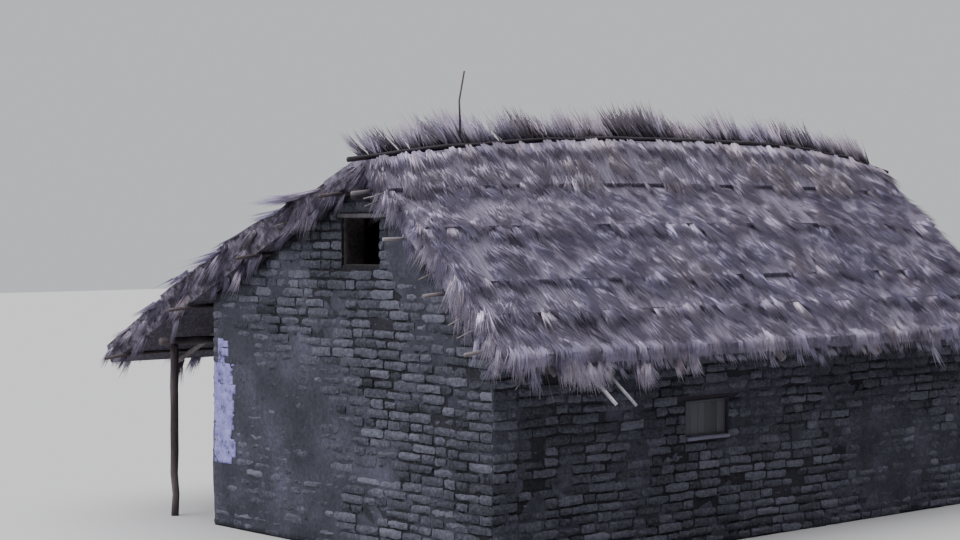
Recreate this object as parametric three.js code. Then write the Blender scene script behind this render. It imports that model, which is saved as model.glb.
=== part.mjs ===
// Thatched mud-brick house: adobe walls, a pole roof frame, lapped thatch and an open veranda.
// Millimetres, +Z up. X runs along the ridge from the near gable to the far gable.
// Y runs from the front wall, over the ridge, to the veranda behind the house.
import * as THREE from 'three';

// Clearance left between neighbouring pieces
const gap = 0.3;

// Walls
const wallLength = 9600;
const wallWidth = 5500;
const wallThickness = 380;

// Small gable window, the same in both gables
const ventSide = 2010;
const ventWidth = 740;
const ventSill = 3510;
const ventHeight = 580;
const ventLintelHeight = 50;
const ventLintelBearing = 100;

// Shuttered window in the front wall
const windowLeft = 3210;
const windowWidth = 800;
const windowSill = 1370;
const windowHeight = 450;
const sillHeight = 40;
const sillDepth = 245;
const sillOverhang = 45;
const windowLintelHeight = 70;
const windowLintelBearing = 150;
const frameSetback = 40;
const frameDepth = 60;
const frameBar = 30;
const shutterThickness = 25;

// Doorway in the veranda side
const doorLeft = 4350;
const doorWidth = 900;
const doorHeight = 1850;
const doorLintelHeight = 80;
const doorLintelBearing = 200;

// Planes that the thatch lies on: both rise to one apex over the ridge
const ridgeY = 2100;
const apexZ = 4620;
const nearEave = { y: -300, z: 2403 };
const farEave = { y: 7800, z: 2055 };

// Thatch
const vergeOverhang = 180;
const nearEaveThickness = 150;
const farEaveThickness = 200;
const crownZ = 5000;
const courseStep = 55;
const nearBulge = 80;
const farBulge = 110;
const nearSagPower = 3;
const farSagPower = 4;
const nearCourses = [0, 0.18, 0.33, 0.61, 1];
const farCourses = [0, 0.25, 0.5, 0.75, 1];
const nearCapFoot = 0.85;
const farCapFoot = 0.88;
const capThickness = 120;
const capFootThickness = 50;
const capHalfFlat = 180;
const ridgeStations = 14;

// The ridge is hog-backed: it drops towards both verges, later on the far half
const ridgeSag = 380;
const sagHalfSpan = 5260;
const nearHalfPower = 2;
const farHalfPower = 4;

// Row of upright tufts along the ridge
const crestOffset = 60;
const crestThickness = 70;
const crestHeight = 300;
const crestSwing = 70;
const crestSteps = 3;

// Roof poles
const battenRadius = 22.5;
const battenOverhang = 500;
const nearBattens = [0.1, 0.38, 0.66, 0.92];
const farBattens = [0.06, 0.34, 0.62, 0.92];
const rafterRadius = 48;
const rafterPairs = 5;
const rafterInset = 750;
const rafterTop = 0.99;
const nearRafterTail = -0.02;
const farRafterTail = 0.015;
const plateRadius = 60;
const frontPlateInset = 80;
const ridgeBeamRadius = 70;
const ridgeBeamOverhang = 300;

// Veranda
const verandaY = 6550;
const verandaPlateRadius = 55;
const verandaPlateOverhang = 160;
const postRadius = 60;
const postCount = 4;
const postInset = 60;

// Poles laid on the ridge to hold it down, and the stick that stands in it
const holdDownRadius = 35;
const holdDownInner = -60;
const holdDownOuter = -132;
const holdDownRuns = [[-460, 3800, holdDownInner], [3400, 7200, holdDownOuter], [6800, 10060, holdDownInner]];
const stickX = 1350;
const stickLean = 80;
const stickBendZ = 5545;
const stickTopZ = 5920;
const stickRadius = 14;

function finish(color, roughness) {
  return new THREE.MeshStandardMaterial({ color, roughness, metalness: 0 });
}

const house = new THREE.Group();

function place(name, geometry, material) {
  const mesh = new THREE.Mesh(geometry, material);
  mesh.name = name;
  house.add(mesh);
  return mesh;
}

const adobe = () => finish(0x6f6a5e, 0.97);
const thatch = () => finish(0x8a8290, 0.98);
const darkPole = () => finish(0x4a3a3c, 0.85);
const palePole = () => finish(0x9a9088, 0.9);
const greyBoard = () => finish(0x9c978c, 0.88);

// One half of the roof: the line of its plane, seen from the gable, with distances from the eave up
function makeSlope(eave) {
  const run = ridgeY - eave.y;
  const rise = apexZ - eave.z;
  const length = Math.hypot(run, rise);
  const side = Math.sign(run);
  const normal = { y: (-side * rise) / length, z: Math.abs(run) / length };
  const tangent = rise / run;
  return {
    side,
    length,
    normal,
    // Point at a share of the slope, lifted off the plane
    at(share, lift) {
      return [eave.y + run * share + normal.y * lift, eave.z + rise * share + normal.z * lift];
    },
    // Height over the ground of the line that runs parallel to the plane
    heightAt(y, lift) {
      return eave.z + (y - eave.y) * tangent + lift / normal.z;
    },
    normalAngle: Math.atan2(normal.z, normal.y),
    tangent,
  };
}

const near = makeSlope(nearEave);
const far = makeSlope(farEave);

// How deep each layer of poles lies under the thatch
const battenLift = -(gap + battenRadius);
const underBattens = -2 * (gap + battenRadius);
const rafterLift = underBattens - rafterRadius;
const underRafters = rafterLift - rafterRadius - gap;

// A closed skin through rings of points, one ring after the other.
// Each four-cornered face is split the same way on both of two skins that lie on each other.
function loft(rings) {
  const count = rings[0].length;
  const positions = rings.flat().flatMap((point) => [point.x, point.y, point.z]);
  const faces = [];
  for (let ring = 0; ring < rings.length - 1; ring += 1) {
    for (let corner = 0; corner < count; corner += 1) {
      const next = (corner + 1) % count;
      const a = ring * count + corner;
      const b = ring * count + next;
      if (rings[ring][corner].y < rings[ring][next].y) {
        faces.push([a, b, a + count], [b, b + count, a + count]);
      } else {
        faces.push([a, b, b + count], [a, b + count, a + count]);
      }
    }
  }
  const last = (rings.length - 1) * count;
  for (const [a, b, c] of capFaces(rings[0])) {
    faces.push([a, c, b], [last + a, last + b, last + c]);
  }
  const geometry = new THREE.BufferGeometry();
  geometry.setAttribute('position', new THREE.Float32BufferAttribute(positions, 3));
  geometry.setIndex(outward(positions, faces).flat());
  geometry.computeVertexNormals();
  return geometry;
}

// Triangles that close the end of a ring, in the ring's own turning direction
function capFaces(ring) {
  const first = ring[0];
  const spanX = Math.max(...ring.map((point) => Math.abs(point.x - first.x)));
  const flat = ring.map((point) => new THREE.Vector2(spanX < 1 ? point.y : point.x, spanX < 1 ? point.z : point.y));
  const clockwise = THREE.ShapeUtils.isClockWise(flat);
  return THREE.ShapeUtils.triangulateShape(flat, []).map(([a, b, c]) => {
    const turn = flat[b].clone().sub(flat[a]).cross(flat[c].clone().sub(flat[a]));
    return turn > 0 === clockwise ? [a, c, b] : [a, b, c];
  });
}

// Turns the faces round where the skin encloses a negative volume
function outward(positions, faces) {
  const corner = (index) => new THREE.Vector3().fromArray(positions, index * 3);
  let volume = 0;
  for (const [a, b, c] of faces) {
    volume += corner(a).dot(corner(b).cross(corner(c)));
  }
  return volume > 0 ? faces : faces.map(([a, b, c]) => [a, c, b]);
}

// A body that runs along X with the section that sectionAt gives at each station
function loftAlongX(stations, sectionAt) {
  return loft(stations.map((x) => sectionAt(x).map(([y, z]) => new THREE.Vector3(x, y, z))));
}

function circle(y, z, radius, firstAngle, sides) {
  return Array.from({ length: sides }, (_, index) => {
    const angle = firstAngle + (index * 2 * Math.PI) / sides;
    return [y + radius * Math.cos(angle), z + radius * Math.sin(angle)];
  });
}

// A straight pole along X, with one of its edges turned to firstAngle
function poleAlongX(from, to, y, z, radius, firstAngle, sides) {
  return loftAlongX([from, to], () => circle(y, z, radius, firstAngle, sides));
}

function box(x0, x1, y0, y1, z0, z1) {
  const geometry = new THREE.BoxGeometry(x1 - x0, y1 - y0, z1 - z0);
  geometry.translate((x0 + x1) / 2, (y0 + y1) / 2, (z0 + z1) / 2);
  return geometry;
}

function shapeOf(points) {
  return new THREE.Shape(points.map(([u, v]) => new THREE.Vector2(u, v)));
}

function holeOf(points) {
  return new THREE.Path(points.map(([u, v]) => new THREE.Vector2(u, v)));
}

// Extrudes an outline drawn in Y and Z from x0 to x1
function slabAlongX(shape, x0, x1) {
  const geometry = new THREE.ExtrudeGeometry(shape, { depth: x1 - x0, bevelEnabled: false });
  geometry.applyMatrix4(new THREE.Matrix4().set(0, 0, 1, x0, 1, 0, 0, 0, 0, 1, 0, 0, 0, 0, 0, 1));
  return geometry;
}

// Extrudes an outline drawn in X and Z from y0 to y1
function slabAlongY(shape, y0, y1) {
  const geometry = new THREE.ExtrudeGeometry(shape, { depth: y1 - y0, bevelEnabled: false });
  geometry.applyMatrix4(new THREE.Matrix4().set(1, 0, 0, 0, 0, 0, -1, y1, 0, 1, 0, 0, 0, 0, 0, 1));
  return geometry;
}

// An opening with the wider pocket of its lintel on top
function openingWithLintel(from, width, bottom, height, bearing, lintelHeight) {
  const to = from + width;
  const head = bottom + height;
  return holeOf([
    [from, bottom], [to, bottom], [to, head], [to + bearing, head],
    [to + bearing, head + lintelHeight], [from - bearing, head + lintelHeight], [from - bearing, head], [from, head],
  ]);
}

// Centre of the ridge beam: it touches the underside of both sets of rafters
const beamLift = underRafters - ridgeBeamRadius;
const beamShift = (beamLift / far.normal.z - beamLift / near.normal.z) / (near.tangent - far.tangent);
const beamY = ridgeY + beamShift;
const beamZ = near.heightAt(beamY, beamLift);

// Centres of the plates under the rafters
const frontPlateY = frontPlateInset;
const backPlateY = wallWidth - wallThickness / 2;
const frontPlateZ = near.heightAt(frontPlateY, underRafters - plateRadius);
const backPlateZ = far.heightAt(backPlateY, underRafters - plateRadius);
const verandaPlateZ = far.heightAt(verandaY, underRafters - verandaPlateRadius);
const frontWallTop = frontPlateZ - plateRadius - gap;
const backWallTop = backPlateZ - plateRadius - gap;

function addGable(name, x0) {
  const top = underBattens;
  const notch = ridgeBeamRadius + gap;
  const seat = beamZ - notch;
  const outline = shapeOf([
    [0, 0], [wallWidth, 0], [wallWidth, far.heightAt(wallWidth, top)],
    [beamY + notch, far.heightAt(beamY + notch, top)], [beamY + notch, seat],
    [beamY - notch, seat], [beamY - notch, near.heightAt(beamY - notch, top)], [0, near.heightAt(0, top)],
  ]);
  outline.holes.push(
    openingWithLintel(ventSide, ventWidth, ventSill, ventHeight, ventLintelBearing, ventLintelHeight),
  );
  place(`${name}_gable_wall`, slabAlongX(outline, x0, x0 + wallThickness), adobe());
  const lintelZ = ventSill + ventHeight + gap;
  const from = ventSide - ventLintelBearing + gap;
  const to = ventSide + ventWidth + ventLintelBearing - gap;
  const lintelTop = ventSill + ventHeight + ventLintelHeight - gap;
  place(`${name}_gable_window_lintel`, box(x0, x0 + wallThickness, from, to, lintelZ, lintelTop), greyBoard());
}

function addFrontWall() {
  const from = wallThickness + gap;
  const to = wallLength - wallThickness - gap;
  const outline = shapeOf([[from, 0], [to, 0], [to, frontWallTop], [from, frontWallTop]]);
  const bottom = windowSill - sillHeight;
  outline.holes.push(
    openingWithLintel(
      windowLeft, windowWidth, bottom, windowHeight + sillHeight, windowLintelBearing, windowLintelHeight,
    ),
  );
  place('front_wall', slabAlongY(outline, 0, wallThickness), adobe());
}

function addFrontWindow() {
  const left = windowLeft + gap;
  const right = windowLeft + windowWidth - gap;
  const head = windowSill + windowHeight;
  const lintelLeft = windowLeft - windowLintelBearing + gap;
  const lintelRight = windowLeft + windowWidth + windowLintelBearing - gap;
  const lintelTop = head + windowLintelHeight - gap;
  place('front_window_lintel', box(lintelLeft, lintelRight, 0, wallThickness, head + gap, lintelTop), greyBoard());

  const sillBottom = windowSill - sillHeight + gap;
  const sillBack = sillDepth - sillOverhang;
  place('front_window_sill', box(left, right, -sillOverhang, sillBack, sillBottom, windowSill), greyBoard());

  const low = windowSill + gap;
  const high = head - gap;
  const ring = shapeOf([[left, low], [right, low], [right, high], [left, high]]);
  const innerLeft = left + frameBar;
  const innerRight = right - frameBar;
  const innerLow = low + frameBar;
  const innerHigh = high - frameBar;
  ring.holes.push(holeOf([
    [innerLeft, innerLow], [innerRight, innerLow], [innerRight, innerHigh], [innerLeft, innerHigh],
  ]));
  place('front_window_frame', slabAlongY(ring, frameSetback, frameSetback + frameDepth), greyBoard());

  const middle = (left + right) / 2;
  const leaves = [['left', innerLeft + gap, middle - gap / 2], ['right', middle + gap / 2, innerRight - gap]];
  for (const [side, x0, x1] of leaves) {
    const leaf = box(x0, x1, frameSetback, frameSetback + shutterThickness, innerLow + gap, innerHigh - gap);
    place(`shutter_${side}`, leaf, greyBoard());
  }
}

function addBackWall() {
  const y0 = wallWidth - wallThickness;
  const doorRight = doorLeft + doorWidth;
  const lintelLeft = doorLeft - doorLintelBearing;
  const lintelRight = doorRight + doorLintelBearing;
  const wallLeft = wallThickness + gap;
  const wallRight = wallLength - wallThickness - gap;
  const leftSide = shapeOf([
    [wallLeft, 0], [doorLeft, 0], [doorLeft, doorHeight], [lintelLeft, doorHeight],
    [lintelLeft, backWallTop], [wallLeft, backWallTop],
  ]);
  const rightSide = shapeOf([
    [doorRight, 0], [wallRight, 0], [wallRight, backWallTop], [lintelRight, backWallTop],
    [lintelRight, doorHeight], [doorRight, doorHeight],
  ]);
  place('back_wall_left', slabAlongY(leftSide, y0, wallWidth), adobe());
  place('back_wall_right', slabAlongY(rightSide, y0, wallWidth), adobe());
  const from = lintelLeft + gap;
  const to = lintelRight - gap;
  const lintelTop = doorHeight + doorLintelHeight;
  place('door_lintel', box(from, to, y0, wallWidth, doorHeight + gap, lintelTop), greyBoard());
  place('back_wall_over_door', box(from, to, y0, wallWidth, lintelTop + gap, backWallTop), adobe());
}

function addPlates() {
  const from = wallThickness + gap;
  const to = wallLength - wallThickness - gap;
  place('front_wall_plate', poleAlongX(from, to, frontPlateY, frontPlateZ, plateRadius, near.normalAngle, 16), darkPole());
  place('back_wall_plate', poleAlongX(from, to, backPlateY, backPlateZ, plateRadius, far.normalAngle, 16), darkPole());
  const ends = [-ridgeBeamOverhang, wallLength + ridgeBeamOverhang];
  place('ridge_beam', poleAlongX(...ends, beamY, beamZ, ridgeBeamRadius, near.normalAngle, 16), darkPole());
}

function addVeranda() {
  const from = -verandaPlateOverhang;
  const to = wallLength + verandaPlateOverhang;
  const plate = poleAlongX(from, to, verandaY, verandaPlateZ, verandaPlateRadius, far.normalAngle, 16);
  place('veranda_plate', plate, darkPole());
  const height = verandaPlateZ - verandaPlateRadius - gap;
  const spacing = (wallLength - 2 * postInset) / (postCount - 1);
  for (let index = 0; index < postCount; index += 1) {
    const geometry = new THREE.CylinderGeometry(postRadius, postRadius, height, 10);
    const post = place(`veranda_post_${index + 1}`, geometry, darkPole());
    post.rotation.x = Math.PI / 2;
    post.position.set(postInset + index * spacing, verandaY, height / 2);
  }
}

// A rafter lies along its slope with one edge of the pole turned up to the battens
function addRafter(name, slope, x, lowShare) {
  const [lowY, lowZ] = slope.at(lowShare, rafterLift);
  const [highY, highZ] = slope.at(rafterTop, rafterLift);
  const length = Math.hypot(highY - lowY, highZ - lowZ);
  const along = new THREE.Vector3(0, highY - lowY, highZ - lowZ).normalize();
  const up = new THREE.Vector3(0, slope.normal.y, slope.normal.z);
  const across = new THREE.Vector3().crossVectors(along, up);
  const rafter = place(name, new THREE.CylinderGeometry(rafterRadius, rafterRadius, length, 8), palePole());
  rafter.quaternion.setFromRotationMatrix(new THREE.Matrix4().makeBasis(across, along, up));
  rafter.position.set(x, (lowY + highY) / 2, (lowZ + highZ) / 2);
}

// The rafters of a pair lie side by side where they meet over the ridge beam
function addRafters() {
  const spacing = (wallLength - 2 * rafterInset) / (rafterPairs - 1);
  const aside = rafterRadius + gap;
  for (let index = 0; index < rafterPairs; index += 1) {
    const x = rafterInset + index * spacing;
    addRafter(`front_rafter_${index + 1}`, near, x - aside, nearRafterTail);
    addRafter(`back_rafter_${index + 1}`, far, x + aside, farRafterTail);
  }
}

function addBattens(name, slope, shares) {
  shares.forEach((share, index) => {
    const [y, z] = slope.at(share, battenLift);
    const from = -battenOverhang;
    const to = wallLength + battenOverhang;
    const batten = poleAlongX(from, to, y, z, battenRadius, slope.normalAngle, 8);
    place(`${name}_batten_${index + 1}`, batten, palePole());
  });
}

// Evenly spaced stations along the thatch, from verge to verge
const stations = Array.from({ length: ridgeStations }, (_, index) => {
  const span = wallLength + 2 * vergeOverhang;
  return -vergeOverhang + (span * index) / (ridgeStations - 1);
});

function sagAt(x) {
  const middle = wallLength / 2;
  const share = Math.abs(x - middle) / sagHalfSpan;
  return ridgeSag * share ** (x < middle ? nearHalfPower : farHalfPower);
}

// Between two stations the ridge is straight, and past the verges it goes on as it ended
function levelSag(x) {
  const step = stations[1] - stations[0];
  const index = Math.min(Math.max(Math.floor((x - stations[0]) / step), 0), ridgeStations - 2);
  const share = (x - stations[index]) / step;
  return sagAt(stations[index]) * (1 - share) + sagAt(stations[index + 1]) * share;
}

const capTopAt = (x) => crownZ + capThickness - levelSag(x);

// Thickness of the thatch at a share of the slope, square to the plane that it lies on
function thatchDepth(slope, share, x) {
  const isNear = slope === near;
  const eaveDepth = isNear ? nearEaveThickness : farEaveThickness;
  const crownDepth = (crownZ - apexZ) * slope.normal.z;
  const bulge = (isNear ? nearBulge : farBulge) * 4 * share * (1 - share);
  const sag = levelSag(x) * slope.normal.z * share ** (isNear ? nearSagPower : farSagPower);
  return eaveDepth + (crownDepth - eaveDepth) * share + bulge - sag;
}

// Upper side of the thatch, with a height added on top
function thatchTop(slope, share, x, height) {
  return slope.at(share, thatchDepth(slope, share, x) + height);
}

// One lapped course: it is thick at its butt and thin where the next one covers it
function addCourse(name, slope, low, high, middle) {
  const isTop = high === 1;
  const from = low + (low > 0 ? gap / slope.length : 0);
  const section = (x) => {
    const end = isTop ? ridgeY - slope.side * gap : 0;
    const under = isTop ? [end, apexZ] : slope.at(high, 0);
    const top = isTop ? [end, crownZ - levelSag(x)] : thatchTop(slope, high, x, 0);
    const bend = thatchTop(slope, middle, x, isTop ? 0 : courseStep / 2);
    return [slope.at(from, 0), under, top, bend, thatchTop(slope, from, x, courseStep)];
  };
  place(name, loftAlongX(stations, section), thatch());
}

function addCourses(name, slope, shares, capFoot) {
  for (let index = 0; index < shares.length - 1; index += 1) {
    const low = shares[index];
    const high = shares[index + 1];
    const middle = high === 1 ? capFoot : (low + high) / 2;
    addCourse(`${name}_thatch_course_${index + 1}`, slope, low, high, middle);
  }
}

// The cap saddles the ridge and covers the top of the last course on both sides
function addRidgeCap() {
  const section = (x) => [
    thatchTop(near, nearCapFoot, x, gap), [ridgeY, crownZ - levelSag(x) + 2 * gap], thatchTop(far, farCapFoot, x, gap),
    thatchTop(far, farCapFoot, x, capFootThickness), [ridgeY + capHalfFlat, capTopAt(x)],
    [ridgeY - capHalfFlat, capTopAt(x)], thatchTop(near, nearCapFoot, x, capFootThickness),
  ];
  place('thatch_ridge_cap', loftAlongX(stations, section), thatch());
}

// Upright tufts that stand in a row behind the hold-down poles
function addCrest() {
  const count = (ridgeStations - 1) * crestSteps;
  const span = wallLength + 2 * vergeOverhang;
  const places = Array.from({ length: count + 1 }, (_, index) => -vergeOverhang + (span * index) / count);
  const section = (x) => {
    const wave = Math.sin(x / 310) + 0.6 * Math.sin(x / 127 + 1);
    const foot = capTopAt(x) + gap;
    const top = foot + crestHeight + crestSwing * wave;
    const y0 = ridgeY + crestOffset - crestThickness / 2;
    const y1 = ridgeY + crestOffset + crestThickness / 2;
    return [[y0, foot], [y1, foot], [y1, top], [y0, top]];
  };
  place('ridge_crest_tufts', loftAlongX(places, section), thatch());
}

function addHoldDownPoles() {
  const flatDown = -Math.PI / 2 + Math.PI / 8;
  const inradius = holdDownRadius * Math.cos(Math.PI / 8);
  holdDownRuns.forEach(([from, to, offset], index) => {
    const inside = stations.filter((x) => x > from && x < to);
    const section = (x) => circle(ridgeY + offset, capTopAt(x) + inradius + gap, holdDownRadius, flatDown, 8);
    place(`ridge_pole_${index + 1}`, loftAlongX([from, ...inside, to], section), darkPole());
  });
}

// A thin bent stick that stands upright between the poles and the tufts
function addRidgeStick() {
  const foot = capTopAt(stickX + stickRadius) + gap;
  const ring = (x, z) => circle(x, ridgeY, stickRadius, 0, 8).map(([u, v]) => new THREE.Vector3(u, v, z));
  const rings = [ring(stickX, foot), ring(stickX, stickBendZ), ring(stickX + stickLean, stickTopZ)];
  place('ridge_stick', loft(rings), darkPole());
}

addGable('near', 0);
addGable('far', wallLength - wallThickness);
addFrontWall();
addFrontWindow();
addBackWall();
addPlates();
addVeranda();
addRafters();
addBattens('front', near, nearBattens);
addBattens('back', far, farBattens);
addCourses('front', near, nearCourses, nearCapFoot);
addCourses('back', far, farCourses, farCapFoot);
addRidgeCap();
addCrest();
addHoldDownPoles();
addRidgeStick();

// The origin is the middle of the whole house's footprint, at ground level
const footprint = new THREE.Box3().setFromObject(house).getCenter(new THREE.Vector3());
house.position.set(-footprint.x, -footprint.y, 0);

export default house;
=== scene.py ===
# %% [markdown]
# # A thatched mud-brick house
# The real house has walls of sun-dried mud brick, a roof frame of crooked poles and a thatch of dry grass.
# Its solids come from a model that was packed before, so this script only dresses them.
# Everything is in metres. X runs along the ridge, Y from the front wall to the veranda, and Z is up.

# %% Load the frame
import math
import random

import bmesh
import bpy
import numpy as np
from mathutils import Matrix, Vector, noise
from mathutils.bvhtree import BVHTree


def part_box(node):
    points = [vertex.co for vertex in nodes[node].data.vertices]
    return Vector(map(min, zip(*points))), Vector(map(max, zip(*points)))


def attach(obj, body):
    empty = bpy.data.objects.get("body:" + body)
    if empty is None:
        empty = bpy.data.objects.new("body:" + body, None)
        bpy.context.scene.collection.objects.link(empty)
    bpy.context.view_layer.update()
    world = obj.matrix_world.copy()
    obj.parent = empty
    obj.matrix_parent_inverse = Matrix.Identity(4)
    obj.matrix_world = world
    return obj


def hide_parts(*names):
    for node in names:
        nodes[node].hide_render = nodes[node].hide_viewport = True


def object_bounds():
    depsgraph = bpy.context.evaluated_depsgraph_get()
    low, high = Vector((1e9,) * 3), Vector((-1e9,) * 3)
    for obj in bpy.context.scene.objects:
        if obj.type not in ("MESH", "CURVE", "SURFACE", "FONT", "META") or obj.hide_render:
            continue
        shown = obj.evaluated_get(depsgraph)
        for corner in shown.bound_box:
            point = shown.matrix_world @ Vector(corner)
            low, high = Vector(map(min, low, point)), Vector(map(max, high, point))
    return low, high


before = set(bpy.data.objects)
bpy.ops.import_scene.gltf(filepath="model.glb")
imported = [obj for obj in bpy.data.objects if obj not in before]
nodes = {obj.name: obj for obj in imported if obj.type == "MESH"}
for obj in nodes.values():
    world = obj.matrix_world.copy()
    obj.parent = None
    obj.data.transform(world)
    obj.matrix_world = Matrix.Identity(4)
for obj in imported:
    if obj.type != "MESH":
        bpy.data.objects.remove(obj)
cad_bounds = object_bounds()
SLOT_OF = {name: nodes[name].material_slots[0].name for name in nodes}
print("frame:", len(nodes), "nodes, from", tuple(cad_bounds[0]), "to", tuple(cad_bounds[1]))

# %% [markdown]
# Places on a house are easiest to read from one of its corners.
# The near front corner is where the two visible walls meet, so it is the zero of every place below.
# The lengths of the walls are measured on the frame, so they follow it if it changes.

# %% Measure the house
near_low, near_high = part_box("near_gable_wall")
far_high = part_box("far_gable_wall")[1]
CORNER = Vector((near_low.x, near_low.y, 0.0))
WALL_LENGTH = far_high.x - near_low.x
WALL_WIDTH = near_high.y - near_low.y
WALL_THICKNESS = near_high.x - near_low.x


def spot(x, y, z):
    """A place on the house, counted from its near front corner."""
    return CORNER + Vector((x, y, z))


print(f"walls {WALL_LENGTH:.2f} x {WALL_WIDTH:.2f} m, {WALL_THICKNESS:.2f} m thick")

# %% [markdown]
# The photograph was taken with a longish lens, a little above head height on a slope.
# The camera comes early, because every later choice of detail depends on what it sees.

# %% Camera
EYE = spot(-15.16, -16.62, 4.06)
LOOK_ALONG = Vector((0.669, 0.743, 0.0))
TILT_DOWN = math.radians(1.43)
LENS = 75.0

lens_data = bpy.data.cameras.new("camera")
lens_data.lens = LENS
lens_data.sensor_width = 36.0
lens_data.clip_end = 400.0
camera = bpy.data.objects.new("camera", lens_data)
camera.location = EYE
aim = LOOK_ALONG.normalized() * math.cos(TILT_DOWN) - Vector((0, 0, math.sin(TILT_DOWN)))
camera.rotation_euler = aim.to_track_quat("-Z", "Y").to_euler()
bpy.context.scene.collection.objects.link(camera)
bpy.context.scene.camera = camera
print("camera is", round((EYE - CORNER).length, 1), "m from the near corner")

# %% [markdown]
# A plain pale floor and soft light show the shapes best. The sky in the photograph is overcast, so most of
# the light falls from straight above, and the eaves keep it off the walls. A weaker light comes from the
# gable's side, because the gable is a little brighter than the front wall.

# %% Floor and light
FLOOR_SIZE = 160.0


def add_floor():
    """A level pale floor that isn't part of the house."""
    shape = bmesh.new()
    bmesh.ops.create_grid(shape, x_segments=1, y_segments=1, size=FLOOR_SIZE / 2)
    mesh = bpy.data.meshes.new("floor")
    shape.to_mesh(mesh)
    shape.free()
    floor = bpy.data.objects.new("floor", mesh)
    material = bpy.data.materials.new("pale_floor")
    material.use_nodes = True
    shader = material.node_tree.nodes["Principled BSDF"]
    shader.inputs["Base Color"].default_value = (0.36, 0.36, 0.37, 1)
    shader.inputs["Roughness"].default_value = 0.9
    mesh.materials.append(material)
    bpy.context.scene.collection.objects.link(floor)


def add_soft_sun(name, direction, spread, strength):
    """Even light from one side of the sky. Direction points towards the light."""
    data = bpy.data.lights.new(name, "SUN")
    data.angle = math.radians(spread)
    data.energy = strength
    light = bpy.data.objects.new(name, data)
    light.location = spot(0, 0, 12)
    light.rotation_euler = Vector(direction).to_track_quat("Z", "Y").to_euler()
    bpy.context.scene.collection.objects.link(light)


def set_sky(color, strength, seen_color):
    """An even sky all round. The camera sees a paler one, so that the crest stands out against it."""
    world = bpy.data.worlds.new("sky")
    world.use_nodes = True
    tree = world.node_tree
    fill = tree.nodes["Background"]
    fill.inputs["Color"].default_value = (*color, 1)
    fill.inputs["Strength"].default_value = strength
    seen = tree.nodes.new("ShaderNodeBackground")
    seen.inputs["Color"].default_value = (*seen_color, 1)
    path = tree.nodes.new("ShaderNodeLightPath")
    mix = tree.nodes.new("ShaderNodeMixShader")
    tree.links.new(path.outputs["Is Camera Ray"], mix.inputs["Fac"])
    tree.links.new(fill.outputs["Background"], mix.inputs[1])
    tree.links.new(seen.outputs["Background"], mix.inputs[2])
    tree.links.new(mix.outputs["Shader"], tree.nodes["World Output"].inputs["Surface"])
    bpy.context.scene.world = world


add_floor()
add_soft_sun("overcast", (-0.10, 0.14, 1.0), 90, 6.6)
add_soft_sun("key", (-1.0, 0.25, 0.75), 50, 2.0)
set_sky((0.86, 0.86, 0.93), 0.16, (0.62, 0.63, 0.66))

# %% [markdown]
# Weather shows on mud, grass and wood alike: slow patches of tone and a fine grain over them.
# One shader group makes both, so each finish can take them at its own scale.

# %% Weather group
def new_group(name, inputs, outputs):
    """A shader node group with named number sockets, and its two ends."""
    group = bpy.data.node_groups.new(name, "ShaderNodeTree")
    group.interface.new_socket("Vector", in_out="INPUT", socket_type="NodeSocketVector")
    for label, value in inputs.items():
        socket = group.interface.new_socket(label, in_out="INPUT", socket_type="NodeSocketFloat")
        socket.default_value = value
    for label in outputs:
        group.interface.new_socket(label, in_out="OUTPUT", socket_type="NodeSocketFloat")
    return group, group.nodes.new("NodeGroupInput"), group.nodes.new("NodeGroupOutput")


def noise_node(tree, vector, scale, detail, roughness):
    """A noise texture. Scale may be a number or a socket."""
    node = tree.nodes.new("ShaderNodeTexNoise")
    tree.links.new(vector, node.inputs["Vector"])
    if isinstance(scale, (int, float)):
        node.inputs["Scale"].default_value = scale
    else:
        tree.links.new(scale, node.inputs["Scale"])
    node.inputs["Detail"].default_value = detail
    node.inputs["Roughness"].default_value = roughness
    return node.outputs["Fac"]


def maths(tree, operation, first, second):
    """One sum on two numbers or sockets."""
    node = tree.nodes.new("ShaderNodeMath")
    node.operation = operation
    for socket, value in zip(node.inputs, (first, second)):
        if isinstance(value, (int, float)):
            socket.default_value = value
        else:
            tree.links.new(value, socket)
    return node.outputs[0]


def weighed(tree, *parts):
    """The sum of some numbers or sockets, each times its share."""
    products = [maths(tree, "MULTIPLY", value, share) for value, share in parts]
    total = products[0]
    for product in products[1:]:
        total = maths(tree, "ADD", total, product)
    return total


def make_weather():
    """Slow patches, fine grain, and a height that mixes the two."""
    inputs = {"Patch Scale": 1.0, "Grain Scale": 30.0}
    group, start, end = new_group("weather", inputs, ["Patches", "Grain", "Height"])
    vector = start.outputs["Vector"]
    patches = noise_node(group, vector, start.outputs["Patch Scale"], 3.0, 0.55)
    grain = noise_node(group, vector, start.outputs["Grain Scale"], 6.0, 0.65)
    height = weighed(group, (patches, 0.35), (grain, 0.65))
    for label, value in (("Patches", patches), ("Grain", grain), ("Height", height)):
        group.links.new(value, end.inputs[label])
    return group


WEATHER = make_weather()
print("weather group has", len(WEATHER.nodes), "nodes")

# %% [markdown]
# Each finish starts the same way: object coordinates, stretched where the material has a grain,
# go through the weather group and then pick colours from a ramp.

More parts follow.
